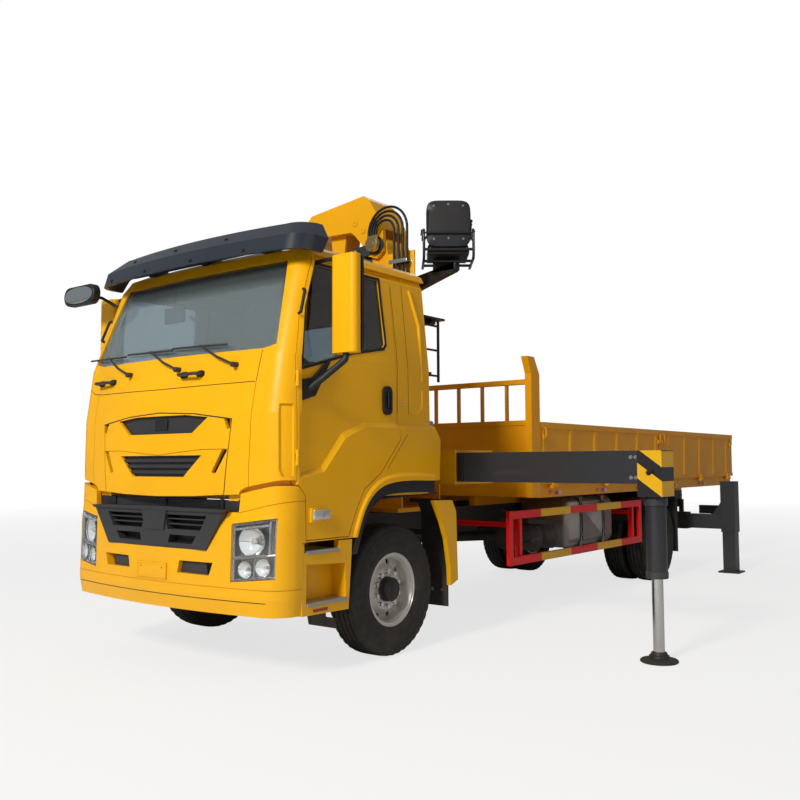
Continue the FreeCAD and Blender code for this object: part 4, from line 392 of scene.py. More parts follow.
# Where each axle is, the middles of its tyres, and how far out its drum, disc, hub and cap come.
WHEELS = {
    "front": {"y": 0.0, "rows": [1.05], "drum": 1.006, "disc": 1.090, "barrel": 1.145, "cap": 1.159},
    "rear": {"y": 5.56, "rows": [1.075, 0.765], "drum": 0.974, "disc": 0.981, "barrel": 1.125, "cap": 1.139},
}
NUTS = 10
NUT_CIRCLE = 0.14


def wheel(hand, side, end, y, rows, drum, disc, barrel, cap):
    """Tyres, rim edges, hub, brake drum and nuts at one end of an axle."""
    body, kind = (f"front_wheel_{hand}", "") if end == "front" else (f"rear_wheels_{hand}", "s")
    tyres = bmesh.new()
    rings = bmesh.new()
    for x in rows:
        turn_on(tyres, at(side * x, y, TYRE_RADIUS), (side, 0, 0), TREAD, 132, True, shoulder_slots)
        edge = [(0.2885 + 0.0065 * math.cos(a), 0.1035 + 0.0065 * math.sin(a))
                for a in (math.tau * k / 8 for k in range(8))]
        for turn in (1, -1):
            turn_on(rings, at(side * x, y, TYRE_RADIUS), (side * turn, 0, 0), edge, 72, True)
    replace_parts(new_piece(f"{end}_treads_{hand}", tyres, mat_rubber, body, 40.0),
                f"{end}_tyre{kind}_{hand}")
    new_piece(f"{end}_rim_edges_{hand}", rings, mat_rim, body)
    dress(mat_rim, f"{end}_rim{kind}_{hand}")
    axle = at(0, y, TYRE_RADIUS)
    hub = bmesh.new()
    turn_on(hub, axle, (side, 0, 0),
            [(0.0886, disc + 0.002), (0.100, disc + 0.003), (0.100, disc + 0.016), (0.095, disc + 0.020),
             (0.095, barrel + 0.004), (0.088, cap + 0.001), (0.060, cap + 0.004), (0.055, cap + 0.012),
             (0.030, cap + 0.016), (0.0, cap + 0.0165), (0.0, cap + 0.0004), (0.0886, cap + 0.0004)],
            56, True)
    new_piece(f"{end}_hub_cover_{hand}", hub, mat_hub, body)
    ring = bmesh.new()
    turn_on(ring, axle, (side, 0, 0),
            [(0.196, drum), (0.244, drum), (0.244, drum + 0.008), (0.196, drum + 0.008)], 48, True)
    new_piece(f"{end}_brake_drum_{hand}", ring, mat_hub, body)
    nuts = []
    for i in range(NUTS):
        a = math.radians(360 // NUTS * i + 18)
        place = at(side * disc, y + NUT_CIRCLE * math.cos(a), TYRE_RADIUS + NUT_CIRCLE * math.sin(a))
        nuts.append((place, (side, 0, 0)))
    grown(f"{end}_wheel_nuts_{hand}", BOLTS, nuts, body, "rim_silver", head_radius=0.0198,
          head_height=0.0285, washer_radius=0.0245, finish=mat_plated)


for side, hand in ((1, "left"), (-1, "right")):
    for end, sizes in WHEELS.items():
        wheel(hand, side, end, **sizes)

# ---- tanks and boxes ------------------------------------------------------------------------
# The fuel tank is rolled aluminium with rubber-lined straps; the air tanks, battery box,
# locker and silencer beside it are black-painted steel hung from the rails.


def loose_parts(name, node, wanted, mat, body):
    """Copy of those separate solids of a CAD node whose box `wanted` picks, as a piece."""
    bm = bmesh.new()
    bm.from_mesh(NODES[node].data)
    bmesh.ops.remove_doubles(bm, verts=bm.verts, dist=MERGE)
    seen = set()
    for start in list(bm.verts):
        if start in seen:
            continue
        group, stack = [], [start]
        seen.add(start)
        while stack:
            v = stack.pop()
            group.append(v)
            for edge in v.link_edges:
                other = edge.other_vert(v)
                if other not in seen:
                    seen.add(other)
                    stack.append(other)
        low = Vector([min(v.co[k] for v in group) for k in range(3)]) + Vector((0, AXLE_TO_MIDDLE, 0))
        high = Vector([max(v.co[k] for v in group) for k in range(3)]) + Vector((0, AXLE_TO_MIDDLE, 0))
        if not wanted(low, high):
            bmesh.ops.delete(bm, geom=group, context="VERTS")
    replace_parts(new_piece(name, bm, mat, body), node)


def soft_box(bm, low, high, radius=0.01, steps=2):
    """Box with rounded edges between two corners."""
    made = bmesh.ops.create_cube(bm, size=1.0)["verts"]
    for v in made:
        v.co = Vector([low[k] if v.co[k] < 0 else high[k] for k in range(3)])
    edges = list({e for v in made for e in v.link_edges})
    bmesh.ops.bevel(bm, geom=edges, offset=radius, segments=steps, profile=0.5, affect="EDGES")


def side_box(bm, side, low, high, radius=0.01, steps=2):
    """Soft box with its corners given for the truck's left; a side of -1 puts it on the right."""
    x0, x1 = sorted((side * low[0], side * high[0]))
    soft_box(bm, at(x0, low[1], low[2]), at(x1, high[1], high[2]), radius, steps)


def skin(bm, loops):
    """Joins each loop of vertices to the next with four-cornered faces."""
    for low, high in zip(loops, loops[1:]):
        for i in range(len(low)):
            j = (i + 1) % len(low)
            bm.faces.new((low[i], low[j], high[j], high[i]))


def swept(bm, points, radius, bend=0.05, sides=12, flat=1.0):
    """Closed round bar through the points, with each corner turned on an arc of `bend`."""
    line = [points[0]]
    for before, here, after in zip(points, points[1:], points[2:]):
        a, b = (before - here).normalized(), (after - here).normalized()
        reach = min(bend, (before - here).length * 0.49, (after - here).length * 0.49)
        for k in range(7):
            t = k / 6
            line.append((here + a * reach) * (1 - t) ** 2 + here * 2 * t * (1 - t)
                        + (here + b * reach) * t ** 2)
    line.append(points[-1])
    up = (line[1] - line[0]).orthogonal().normalized()
    loops = []
    for k, point in enumerate(line):
        ahead = (line[min(k + 1, len(line) - 1)] - line[max(k - 1, 0)]).normalized()
        up = (up - ahead * up.dot(ahead)).normalized()
        out = ahead.cross(up)
        loops.append([bm.verts.new(point + (up * math.cos(a) + out * math.sin(a) * flat) * radius)
                      for a in (math.tau * i / sides for i in range(sides))])
    skin(bm, loops)
    bm.faces.new(loops[0])
    bm.faces.new(list(reversed(loops[-1])))


mat_tank = material("tank_metal", (0.40, 0.39, 0.37), 0.38, metal=0.8, dust=0.45, mottle=0.10,
                    waves=0.003)
mat_box = material("box_paint", (0.022, 0.022, 0.024), 0.45, dust=0.35, wear=0.2)
mat_strap = material("strap_rubber", (0.020, 0.020, 0.021), 0.6, dust=0.3)


def is_fuel_tank(low, high):
    return low.x > 0.3 and high.y > 3.5


def is_other_box(low, high):
    return not is_fuel_tank(low, high)


def cap_knurls(k, i):
    return 0.004 if k in (2, 3) and i % 4 == 0 else 0.0


loose_parts("fuel_tank", "side_tanks", is_fuel_tank, mat_tank, "truck")
loose_parts("under_boxes", "side_tanks", is_other_box, mat_box, "truck")
straps = bmesh.new()
strap_bolts = []
for y in (3.45, 4.02):
    for dy in (-0.026, 0.026):
        swept(straps, [at(0.62, y + dy, 1.160), at(1.131, y + dy, 1.160), at(1.131, y + dy, 0.590),
                       at(0.62, y + dy, 0.590)], 0.006, 0.11, 6)
    strap_bolts += [(at(1.132, y, z), (1, 0, 0)) for z in (0.74, 0.98)]
new_piece("tank_strap_edges", straps, mat_strap, "truck")
grown("tank_strap_bolts", BOLTS, strap_bolts, "truck", "tank_metal", head_radius=0.013, head_height=0.012,
      washer_radius=0.02, finish=mat_bolt)
cap = bmesh.new()
turn_on(cap, at(1.01, 3.45, 1.185), (0, 0, 1),
        [(0, -0.02), (0.058, -0.02), (0.060, 0.0), (0.060, 0.022), (0.052, 0.030), (0.030, 0.034),
         (0, 0.034)], 32, notch=cap_knurls)
new_piece("fuel_cap", cap, mat_strap, "truck")
ribs = bmesh.new()
for z in (0.70, 0.78, 0.86, 0.94):
    soft_box(ribs, at(-1.126, 3.36, z), at(-1.118, 4.14, z + 0.02), 0.003, 1)
soft_box(ribs, at(-1.130, 3.72, 0.985), at(-1.118, 3.80, 1.02), 0.004)
for z in (0.70, 0.80, 0.90):
    soft_box(ribs, at(-1.126, 2.34, z), at(-1.118, 2.86, z + 0.02), 0.003, 1)
new_piece("box_door_ribs", ribs, mat_box, "truck")

# ---- side guards ----------------------------------------------------------------------------
# Welded frames of square tube between the axles, painted in blocks of red and yellow, with
# red ends, so that they are seen from the side.


def guard_blocks(w):
    """Blocks of yellow and red along the truck, each 0.65 m long."""
    _, _, y, _ = w.place()
    along = w.math("FRACT", w.math("DIVIDE", w.math("SUBTRACT", y, 2.33 - AXLE_TO_MIDDLE), 1.30))
    is_yellow = w.math("LESS_THAN", along, 0.5)
    return w.mix(is_yellow, (0.78, 0.003, 0.004, 1.0), (0.78, 0.42, 0.0, 1.0))


mat_guard = material("guard_paint", guard_blocks, 0.36, coat=0.12, dust=0.07, wear=0.3)
dress(mat_guard, "side_guards")
edges = bmesh.new()
for side in (-1, 1):
    for z in (0.556, 0.6275, 0.9975, 1.069):
        swept(edges, [at(side * 1.2400, 1.702, z), at(side * 1.2400, 4.888, z)], 0.0035, 0.01, 6)
new_piece("guard_tube_edges", edges, mat_guard, "truck")

# ---- cab shell ------------------------------------------------------------------------------
# Pressed and spot-welded steel, sprayed deep golden yellow under clear lacquer. The seams are
# gaps between panels, and a plated lock barrel and a lamp's base stand on each side.
YELLOW = (0.88, 0.44, 0.0)
mat_yellow = material("yellow_paint", YELLOW, 0.34, coat=0.14, dust=0.06, wear=0.10,
                      worn=(0.45, 0.22, 0.02, 1.0), mottle=0.03, grain=0.00006, grain_scale=260.0,
                      waves=0.003)
dress(mat_yellow, "cab_shell", "nose_panel", "bumper", "front_fenders")
mat_gap = material("panel_gap", (0.030, 0.016, 0.004), 0.8, dust=0.1)


def surface_of(*nodes):
    """Ray target made of several CAD nodes."""
    bm = bmesh.new()
    for node in nodes:
        bm.from_mesh(NODES[node].data)
    tree = BVHTree.FromBMesh(bm)
    bm.free()
    return tree


def laid_on(bm, target, line, aim, width, lift=0.0008, step=0.03):
    """Narrow strip along a line, dropped on to a surface along `aim`."""
    aim = Vector(aim)
    points = []
    for a, b in zip(line, line[1:]):
        count = max(1, int((b - a).length / step))
        points += [a.lerp(b, k / count) for k in range(count)]
    points.append(line[-1])
    last = None
    for k, point in enumerate(points):
        ahead = points[min(k + 1, len(points) - 1)] - points[max(k - 1, 0)]
        out = aim.cross(ahead).normalized() * (width / 2)
        pair = []
        for spot in (point - out, point + out):
            hit = target.ray_cast(spot - aim * 2.0, aim)[0]
            if hit is None:
                pair = None
                break
            pair.append(bm.verts.new(hit - aim * lift))
        if pair and last:
            bm.faces.new((last[0], last[1], pair[1], pair[0]))
        last = pair


CAB_SKIN = surface_of("cab_shell", "bumper", "nose_panel")
seams = bmesh.new()
front_seam = [at(-1.13, 0, 2.180), at(-1.04, 0, 2.136), at(-0.9, 0, 2.124), at(0.0, 0, 2.118),
              at(0.955, 0, 2.130)]
laid_on(seams, CAB_SKIN, front_seam, (0, 1, 0), 0.0055)
laid_on(seams, CAB_SKIN, [at(-1.12, 0, 0.578), at(1.12, 0, 0.578)], (0, 1, 0), 0.006)
laid_on(seams, CAB_SKIN, [at(0.965, 0, 2.135), at(0.985, 0, 2.36)], (0, 1, 0), 0.0055)
for side in (-1, 1):
    aim = (-side, 0, 0)
    for line in ([(-0.051, 2.995), (-0.037, 2.467), (-0.053, 1.881)], [(0.10, 3.085), (0.10, 1.94)],
                 [(0.047, 1.775), (-0.214, 1.496)]):
        laid_on(seams, CAB_SKIN, [at(0, y + 0.045, z) for y, z in line], aim, 0.004)
new_piece("cab_seams", seams, mat_gap, "truck")
lamp_bases = bmesh.new()
locks = bmesh.new()
for side in (-1, 1):
    side_box(lamp_bases, side, (1.240, -1.060, 1.120), (1.262, -0.955, 1.226), 0.008)
    turn_on(locks, at(side * 1.2165, 0.052, 2.014), (side, 0, 0),
            [(0, 0), (0.013, 0), (0.013, 0.004), (0.010, 0.006), (0, 0.006)], 20)
new_piece("side_lamp_bases", lamp_bases, mat_yellow, "truck")
new_piece("cab_locks", locks, mat_plated, "truck")

# ---- glass ----------------------------------------------------------------------------------
# The windscreen is laminated and tinted blue-green, with a darker band at its top; it is bonded
# in, and a black ceramic border hides the glue. The side panes are dark grey toughened glass.


def glass(name, tint, rough, band=1.0, clear=1.0):
    """Tinted glass; `band` darkens its top and `clear` is the share of light let through."""
    mat = bpy.data.materials.new(name)
    mat.use_nodes = True
    w = Wires(mat.node_tree)
    shader = mat.node_tree.nodes["Principled BSDF"]
    where, _, _, height = w.place()
    shade = tuple(c * band for c in tint) + (1.0,)
    w.feed(shader.inputs["Base Color"], w.mix(w.remap(height, 2.86, 2.95), (*tint, 1.0), shade))
    w.feed(shader.inputs["Roughness"], w.remap(w.noise(where, 9.0, 4.0), 0.4, 0.75, rough, rough + 0.04))
    shader.inputs["Transmission Weight"].default_value = clear
    shader.inputs["IOR"].default_value = 1.45
    return mat


mat_glass = glass("window_glass", (0.44, 0.54, 0.59), 0.01, 0.45, 0.80)
mat_side_glass = glass("side_glass", (0.30, 0.34, 0.36), 0.01)
mat_lens = glass("lamp_lens", (0.93, 0.95, 0.96), 0.01)
dress(mat_glass, "cab_glass")
dress(mat_side_glass, "door_glass_left", "door_glass_right")
mat_ceramic = material("screen_border", (0.010, 0.011, 0.014), 0.16, coat=0.3, dust=0.05)
SCREEN = [(-1.100, 2.395), (-0.980, 2.370), (0.980, 2.370), (1.100, 2.395), (1.035, 2.800), (0.985, 3.060),
          (-0.985, 3.060), (-1.035, 2.800)]
PANE = surface_of("cab_glass")
border = bmesh.new()
middle = Vector((0.0, 0.0, 2.70))
for (x0, z0), (x1, z1) in zip(SCREEN, SCREEN[1:] + SCREEN[:1]):
    wide = 0.085 if z0 < 2.45 and z1 < 2.45 else 0.040
    a, b = Vector((x0, 0, z0)), Vector((x1, 0, z1))
    inward = (b - a).cross(Vector((0, 1, 0))).normalized()
    if inward.dot(middle - a) < 0:
        inward = -inward
    line = [at(*(p + inward * (wide / 2 - 0.004))) for p in (a, b)]
    laid_on(border, PANE, line, (0, 1, 0), wide, 0.0007, 0.05)
new_piece("screen_border", border, mat_ceramic, "truck")

# ---- lamps on the cab's sides ---------------------------------------------------------------
# A silvered repeater lens on a yellow base ahead of each front wheel, with its amber bulb
# holder behind it. Lens and holder are moulded, and snap into the base.
amber = material("amber_lens", (0.75, 0.20, 0.01), 0.15, coat=0.6, dust=0.05)
repeaters = bmesh.new()
bulbs = bmesh.new()
for side in (-1, 1):
    side_box(repeaters, side, (1.255, -1.044, 1.138), (1.276, -0.872, 1.210), 0.009, 3)
    side_box(bulbs, side, (1.246, -0.97, 1.146), (1.254, -0.884, 1.202), 0.003)
mat_repeater = material("repeater_lens", (0.62, 0.63, 0.62), 0.12, metal=0.5, coat=0.8, dust=0.05)
new_piece("side_repeaters", repeaters, mat_repeater, "truck")
new_piece("repeater_bulbs", bulbs, amber, "truck")

# ---- cab interior ---------------------------------------------------------------------------
# A moulded dark dashboard, the engine tunnel and a steering wheel, with two foam seats under
# woven cloth and a mirror on the windscreen.
mat_dash = material("dash_plastic", (0.030, 0.031, 0.034), 0.55, dust=0.05, grain=0.0004,
                    grain_scale=500.0)


def is_no_seat(low, high):
    return not (low.y > -0.45 and high.z > 2.0)


loose_parts("dashboard", "cab_interior", is_no_seat, mat_dash, "truck")


def cloth_colour(w):
    """Charcoal weave with paler threads."""
    where = w.place()[0]
    threads = w.add("ShaderNodeTexWave", {"Vector": where, "Scale": 160.0, "Distortion": 1.5}).outputs["Fac"]
    return w.mix(threads, (0.020, 0.021, 0.024, 1.0), (0.060, 0.062, 0.068, 1.0))


mat_cloth = material("seat_fabric", cloth_colour, 0.85, dust=0.08, grain=0.0008, grain_scale=340.0,
                     sheen=0.3)


PRESSED_FRAMES = 12


def foam_pad(name, low, high, mat, body, matrix=None, cap=0.010):
    """Foam cushion: a rounded block remeshed, swelled by cloth pressure, and by `cap` at most."""
    bm = bmesh.new()
    soft_box(bm, low, high, min(high[k] - low[k] for k in range(3)) * 0.42, 4)
    if matrix is not None:
        bmesh.ops.transform(bm, matrix=matrix, verts=bm.verts)
    obj = new_piece(name, bm, mat, body, 80.0)
    mesher = obj.modifiers.new("voxels", "REMESH")
    mesher.mode = "VOXEL"
    mesher.voxel_size = 0.014
    mesher.use_smooth_shade = True
    bpy.context.view_layer.update()
    plain = plain_mesh(obj)
    obj.modifiers.clear()
    obj.data = plain
    start = [v.co.copy() for v in plain.vertices]
    cloth = obj.modifiers.new("foam", "CLOTH")
    cloth.settings.use_pressure = True
    cloth.settings.uniform_pressure_force = 4.0
    cloth.settings.effector_weights.gravity = 0.0
    cloth.settings.tension_stiffness = 25.0
    cloth.settings.quality = 4
    cloth.point_cache.frame_start = 1
    cloth.point_cache.frame_end = PRESSED_FRAMES
    for frame_number in range(1, PRESSED_FRAMES + 1):
        bpy.context.scene.frame_set(frame_number)
    swollen = plain_mesh(obj)
    obj.modifiers.clear()
    for v, home in zip(swollen.vertices, start):
        shift = v.co - home
        if shift.length > cap:
            shift = shift.normalized() * cap
        v.co = home + shift
    obj.data = swollen
    bpy.context.scene.frame_set(1)
    finer = obj.modifiers.new("finer", "SUBSURF")
    finer.levels = 1
    finer.render_levels = 1
    obj.data.shade_smooth()
    if not obj.data.materials:
        obj.data.materials.append(mat)


CAB_SEAT_X = 0.56
for side, hand in ((-1, "right"), (1, "left")):
    x = CAB_SEAT_X * side
    foam_pad(f"cab_seat_{hand}", at(x - 0.235, -0.415, 1.62), at(x + 0.235, 0.055, 1.795),
             mat_cloth, "truck")
    foam_pad(f"cab_seat_back_{hand}", at(x - 0.225, 0.055, 1.70), at(x + 0.225, 0.195, 2.30),
             mat_cloth, "truck")
    foam_pad(f"cab_headrest_{hand}", at(x - 0.14, 0.075, 2.33), at(x + 0.14, 0.18, 2.51),
             mat_cloth, "truck")
bases = bmesh.new()
for x in (-CAB_SEAT_X, CAB_SEAT_X):
    soft_box(bases, at(x - 0.21, -0.38, 1.332), at(x + 0.21, 0.04, 1.63), 0.02)
    for dx in (-0.07, 0.07):
        swept(bases, [at(x + dx, 0.125, 2.27), at(x + dx, 0.125, 2.36)], 0.007, 0.01, 8)
new_piece("cab_seat_bases", bases, mat_dash, "truck")
inner_mirror = bmesh.new()
soft_box(inner_mirror, at(-0.53, -0.995, 2.72), at(-0.27, -0.965, 2.86), 0.014, 3)
swept(inner_mirror, [at(-0.40, -0.975, 2.85), at(-0.40, -0.985, 2.98), at(-0.40, -0.99, 3.03)],
      0.009, 0.03, 8)
mat_mirror_back = material("inner_mirror_back", (0.20, 0.20, 0.20), 0.4, dust=0.05)
new_piece("inner_mirror", inner_mirror, mat_mirror_back, "truck")

# ---- doors and mirrors ----------------------------------------------------------------------
# Pressed yellow doors with black window surrounds and pull handles. Tall yellow mirror heads
# stand on black arms, and a wide rounded mirror on the right looks down over the front.
mat_black = material("black_plastic", (0.016, 0.016, 0.018), 0.48, dust=0.14, grain=0.00025,
                     grain_scale=420.0)
mat_mirror = material("mirror_glass", (0.80, 0.82, 0.84), 0.03, metal=1.0, dust=0.02, mottle=0.0)
dress(mat_yellow, "door_left", "door_right")
dress(mat_black, "door_trim_left", "door_trim_right")


def rounded_plate(bm, centre, right, up, out, width, height, depth, power=4.0, steps=48, dome=0.0):
    """Closed plate with a superellipse outline; its front swells outwards by `dome`."""
    def ring(scale, lift):
        loop = []
        for i in range(steps):
            a = math.tau * i / steps
            c, s = math.cos(a), math.sin(a)
            x = math.copysign(abs(c) ** (2 / power), c) * width / 2 * scale
            z = math.copysign(abs(s) ** (2 / power), s) * height / 2 * scale
            loop.append(bm.verts.new(centre + right * x + up * z + out * lift))
        return loop
    loops = [ring(0.985, 0.0), ring(1.0, depth * 0.3), ring(1.0, depth * 0.7), ring(0.97, depth),
             ring(0.66, depth + dome * 0.7), ring(0.33, depth + dome)]
    skin(bm, loops)
    bm.faces.new(list(reversed(loops[0])))
    bm.faces.new(loops[-1])


ACROSS = Vector((1, 0, 0))
ALONG = Vector((0, 1, 0))
UP = Vector((0, 0, 1))
MIRROR_X = 1.445
for side, hand in ((1, "left"), (-1, "right")):
    body = f"door_{hand}"
    backs = bmesh.new()
    rounded_plate(backs, at(side * MIRROR_X, -0.847, 2.6935), ACROSS, UP, ALONG, 0.236, 0.722, 0.016, 9.0)
    new_piece(f"mirror_back_{hand}", backs, mat_black, body)
    panes = bmesh.new()
    rounded_plate(panes, at(side * MIRROR_X, -0.832, 2.79), ACROSS, UP, ALONG, 0.196, 0.47, 0.004, 7.0)
    rounded_plate(panes, at(side * MIRROR_X, -0.832, 2.44), ACROSS, UP, ALONG, 0.196, 0.17, 0.004, 7.0,
                  dome=0.003)
    new_piece(f"mirror_panes_{hand}", panes, mat_mirror, body)
    grip = bmesh.new()
    swept(grip, [at(side * 1.221, -0.150, 1.972), at(side * 1.240, -0.150, 1.985),
                 at(side * 1.240, -0.150, 2.095), at(side * 1.221, -0.150, 2.108)], 0.010, 0.02, 10, 0.8)
    new_piece(f"door_grip_{hand}", grip, mat_dash, body)
bars = bmesh.new()
for side in (-1, 1):
    swept(bars, [at(side * 1.196, -1.128, 2.62), at(side * 1.225, -1.135, 2.63),
                 at(side * 1.205, -1.075, 2.80), at(side * 1.178, -1.065, 2.81)], 0.012, 0.02, 8)
new_piece("pillar_grips", bars, mat_black, "truck")
front_glass = bmesh.new()
rounded_plate(front_glass, at(-1.4525, -1.2335, 3.055), ACROSS, UP, -ALONG, 0.425, 0.145, 0.003, 2.3,
              dome=0.010)
new_piece("front_mirror_pane", front_glass, mat_mirror, "door_right")

# ---- nose and grille ------------------------------------------------------------------------
# The yellow nose panel has V-shaped openings over moulded dark-grey inserts. Wipers with
# rubber blades and two grab handles stand over it; fins of the cooler show in the gap below.
# A black plate behind the lower intake is painted shade: it darkens the openings as shade would.
mat_grille = material("grille_plastic", (0.034, 0.035, 0.040), 0.42, coat=0.12, dust=0.12, grain=0.0002,
                      grain_scale=380.0)
dress(mat_grille, "front_trim")
mat_fin = material("cooler_fins", (0.10, 0.10, 0.10), 0.40, metal=0.7, dust=0.4)


def fin_tree():
    """Thin blocks, one at each point, such as a cooler's fins or the teeth of a step."""
    tree = bpy.data.node_groups.new("cooler_fins", "GeometryNodeTree")
    socket(tree, "Places", "NodeSocketGeometry", True)
    for name, size in (("Fin Width", 0.6), ("Fin Depth", 0.012), ("Fin Thickness", 0.003)):
        socket(tree, name, "NodeSocketFloat", True, size)
    socket(tree, "Finish", "NodeSocketMaterial", True)
    socket(tree, "Geometry", "NodeSocketGeometry", False)
    w = Wires(tree)
    given = w.add("NodeGroupInput").outputs
    size = w.add("ShaderNodeCombineXYZ", {"X": given["Fin Width"], "Y": given["Fin Depth"],
                                          "Z": given["Fin Thickness"]}).outputs[0]
    block = w.add("GeometryNodeMeshCube", {"Size": size})
    spread = w.add("GeometryNodeInstanceOnPoints", {"Points": given["Places"],
                                                    "Instance": block.outputs["Mesh"]})
    solid = w.add("GeometryNodeRealizeInstances", {0: spread.outputs[0]})
    done = w.add("GeometryNodeSetMaterial", {"Geometry": solid.outputs[0], "Material": given["Finish"]})
    w.feed(w.add("NodeGroupOutput").inputs[0], done.outputs[0])
    return tree


BLOCKS = fin_tree()
fins = [(at(0.31, -1.341, 1.216 + 0.0095 * k), (0, -1, 0)) for k in range(7)]
grown("cooler_fins", BLOCKS, fins, "truck", "black_plastic", fin_width=0.60, finish=mat_fin)
tanks_of_cooler = bmesh.new()
for x0, x1 in ((-0.855, -0.66), (-0.02, 0.0), (0.62, 0.66), (0.82, 0.855)):
    soft_box(tanks_of_cooler, at(x0, -1.352, 1.20), at(x1, -1.334, 1.285), 0.004, 1)
new_piece("cooler_tanks", tanks_of_cooler, mat_black, "truck")
pads = bmesh.new()
NOSE_TOP = surface_of("cab_shell")
for x in (0.42, -0.72):
    for dx in (-0.02, -0.20):
        hit = NOSE_TOP.ray_cast(at(x + dx, -2.0, 2.215), Vector((0, 1, 0)))
        rounded_plate(pads, hit[0] + Vector((0, 0.004, 0)), ACROSS, Vector((0, 0.19, 0.98)),
                      Vector((0, -0.98, 0.19)), 0.085, 0.052, 0.014, 3.0, 24)
new_piece("handle_feet", pads, mat_black, "truck")
# Painted shade: a black plate behind the lower intake's openings stands in for the shade inside them.
intake_shade_sheet = bmesh.new()
soft_box(intake_shade_sheet, at(-0.60, -1.374, 0.935), at(0.60, -1.366, 1.180), 0.003)
new_piece("intake_duct", intake_shade_sheet, mat_black, "truck")
square = bmesh.new()
soft_box(square, at(-0.075, -1.412, 1.800), at(0.075, -1.396, 1.880), 0.004)
new_piece("insert_block", square, mat_black, "truck")

# ---- bumper and headlamps -------------------------------------------------------------------
# A deep moulded bumper in body colour. Each headlamp is a clear cover over a grey frame with a
# large round reflector above a divider and two small chambers below it.
mat_frame_grey = material("lamp_frame", (0.38, 0.38, 0.38), 0.26, metal=0.6, coat=0.4, dust=0.05)
mat_reflector = material("lamp_reflector", (0.86, 0.87, 0.88), 0.08, metal=1.0, dust=0.0, mottle=0.0,
                         waves=0.01)
mat_bucket = material("lamp_bucket", (0.30, 0.31, 0.32), 0.30, metal=0.5, dust=0.0)
mat_bulb = material("bulb_glass", (0.75, 0.70, 0.60), 0.15, coat=0.6, dust=0.0)
LAMP = surface_of("headlamps")
LAMP_CORNERS = [(0.818, 0.712), (1.172, 0.748), (1.177, 1.160), (0.821, 1.114)]


def lamp_point(side, u, v, behind):
    """Point of a headlamp's face: u from the inner edge to the outer, v from bottom to top."""
    (ax, az), (bx, bz), (cx, cz), (dx, dz) = LAMP_CORNERS
    x = (ax + (bx - ax) * u) * (1 - v) + (dx + (cx - dx) * u) * v
    z = (az + (bz - az) * u) * (1 - v) + (dz + (cz - dz) * u) * v
    hit = LAMP.ray_cast(at(side * x, -3.0, z), Vector((0, 1, 0)))[0]
    return hit + Vector((0, behind, 0))


LAMP_GRID = 14


def lamp_sheet(bm, side, behind, low=0.0, high=1.0):
    """Sheet over a headlamp's face, from `low` to `high` both ways; gives its rows of vertices."""
    steps = [low + (high - low) * k / LAMP_GRID for k in range(LAMP_GRID + 1)]
    grid = [[bm.verts.new(lamp_point(side, u, v, behind)) for u in steps] for v in steps]
    for j in range(LAMP_GRID):
        for i in range(LAMP_GRID):
            bm.faces.new((grid[j][i], grid[j][i + 1], grid[j + 1][i + 1], grid[j + 1][i]))
    return grid


def lamp_bar(bm, side, start, end, thick, behind=0.012):
    """Raised bar of the lamp's frame from one (u, v) to another."""
    points = []
    for k in range(9):
        u = start[0] + (end[0] - start[0]) * k / 8
        v = start[1] + (end[1] - start[1]) * k / 8
        points.append(lamp_point(side, u, v, behind))
    swept(bm, points, thick, 0.01, 8)


def rim_of(grid):
    """Vertices round a sheet's edge, in order."""
    last = len(grid) - 1
    return ([grid[0][i] for i in range(last)] + [grid[j][last] for j in range(last)]
            + [grid[last][i] for i in range(last, 0, -1)] + [grid[j][0] for j in range(last, 0, -1)])


covers, buckets, frames, bowls, glows = (bmesh.new() for _ in range(5))
for side in (1, -1):
    front = rim_of(lamp_sheet(covers, side, 0.0))
    back = rim_of(lamp_sheet(covers, side, 0.004))
    for k in range(len(front)):
        covers.faces.new((front[k - 1], front[k], back[k], back[k - 1]))
    floor_rim = rim_of(lamp_sheet(buckets, side, 0.075, 0.03, 0.97))
    lip = [buckets.verts.new(v.co - Vector((0, 0.062, 0))) for v in floor_rim]
    for k in range(len(lip)):
        buckets.faces.new((floor_rim[k - 1], floor_rim[k], lip[k], lip[k - 1]))
    frame_corners = [(0.03, 0.02), (0.97, 0.02), (0.97, 0.98), (0.03, 0.98)]
    for start, end in zip(frame_corners, frame_corners[1:] + frame_corners[:1]):
        lamp_bar(frames, side, start, end, 0.010)
    lamp_bar(frames, side, (0.03, 0.39), (0.97, 0.39), 0.013)
    lamp_bar(frames, side, (0.04, 0.42), (0.80, 0.42), 0.008, 0.010)
    lamp_bar(frames, side, (0.86, 0.42), (0.86, 0.97), 0.012, 0.020)
    lamp_bar(frames, side, (0.05, 0.90), (0.86, 0.90), 0.012, 0.020)
    lamp_bar(frames, side, (0.50, 0.03), (0.50, 0.36), 0.007, 0.026)
    outward = Vector((side * 0.22, -0.975, 0.0)).normalized()
    for u, v, radius, deep in ((0.44, 0.66, 0.101, 0.050), (0.29, 0.19, 0.055, 0.030),
                               (0.72, 0.20, 0.058, 0.030)):
        middle = lamp_point(side, u, v, 0.022)
        bowl = [(radius, 0.0), (radius * 1.06, 0.004), (radius * 1.06, -0.006), (radius * 0.92, -deep * 0.4),
                (radius * 0.70, -deep * 0.8), (radius * 0.42, -deep), (0.0, -deep * 1.05)]
        turn_on(bowls, middle, outward, bowl, 40)
        bulb = [(0.0, -deep * 0.9), (radius * 0.20, -deep * 0.9), (radius * 0.22, -deep * 0.45),
                (radius * 0.14, -deep * 0.25), (0.0, -deep * 0.2)]
        turn_on(glows, middle, outward, bulb, 20)
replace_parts(new_piece("lamp_covers", covers, mat_lens, "truck"), "headlamps")
new_piece("lamp_buckets", buckets, mat_bucket, "truck")
new_piece("lamp_frames", frames, mat_frame_grey, "truck")
new_piece("lamp_bowls", bowls, mat_reflector, "truck")
new_piece("lamp_bulbs", glows, mat_bulb, "truck")

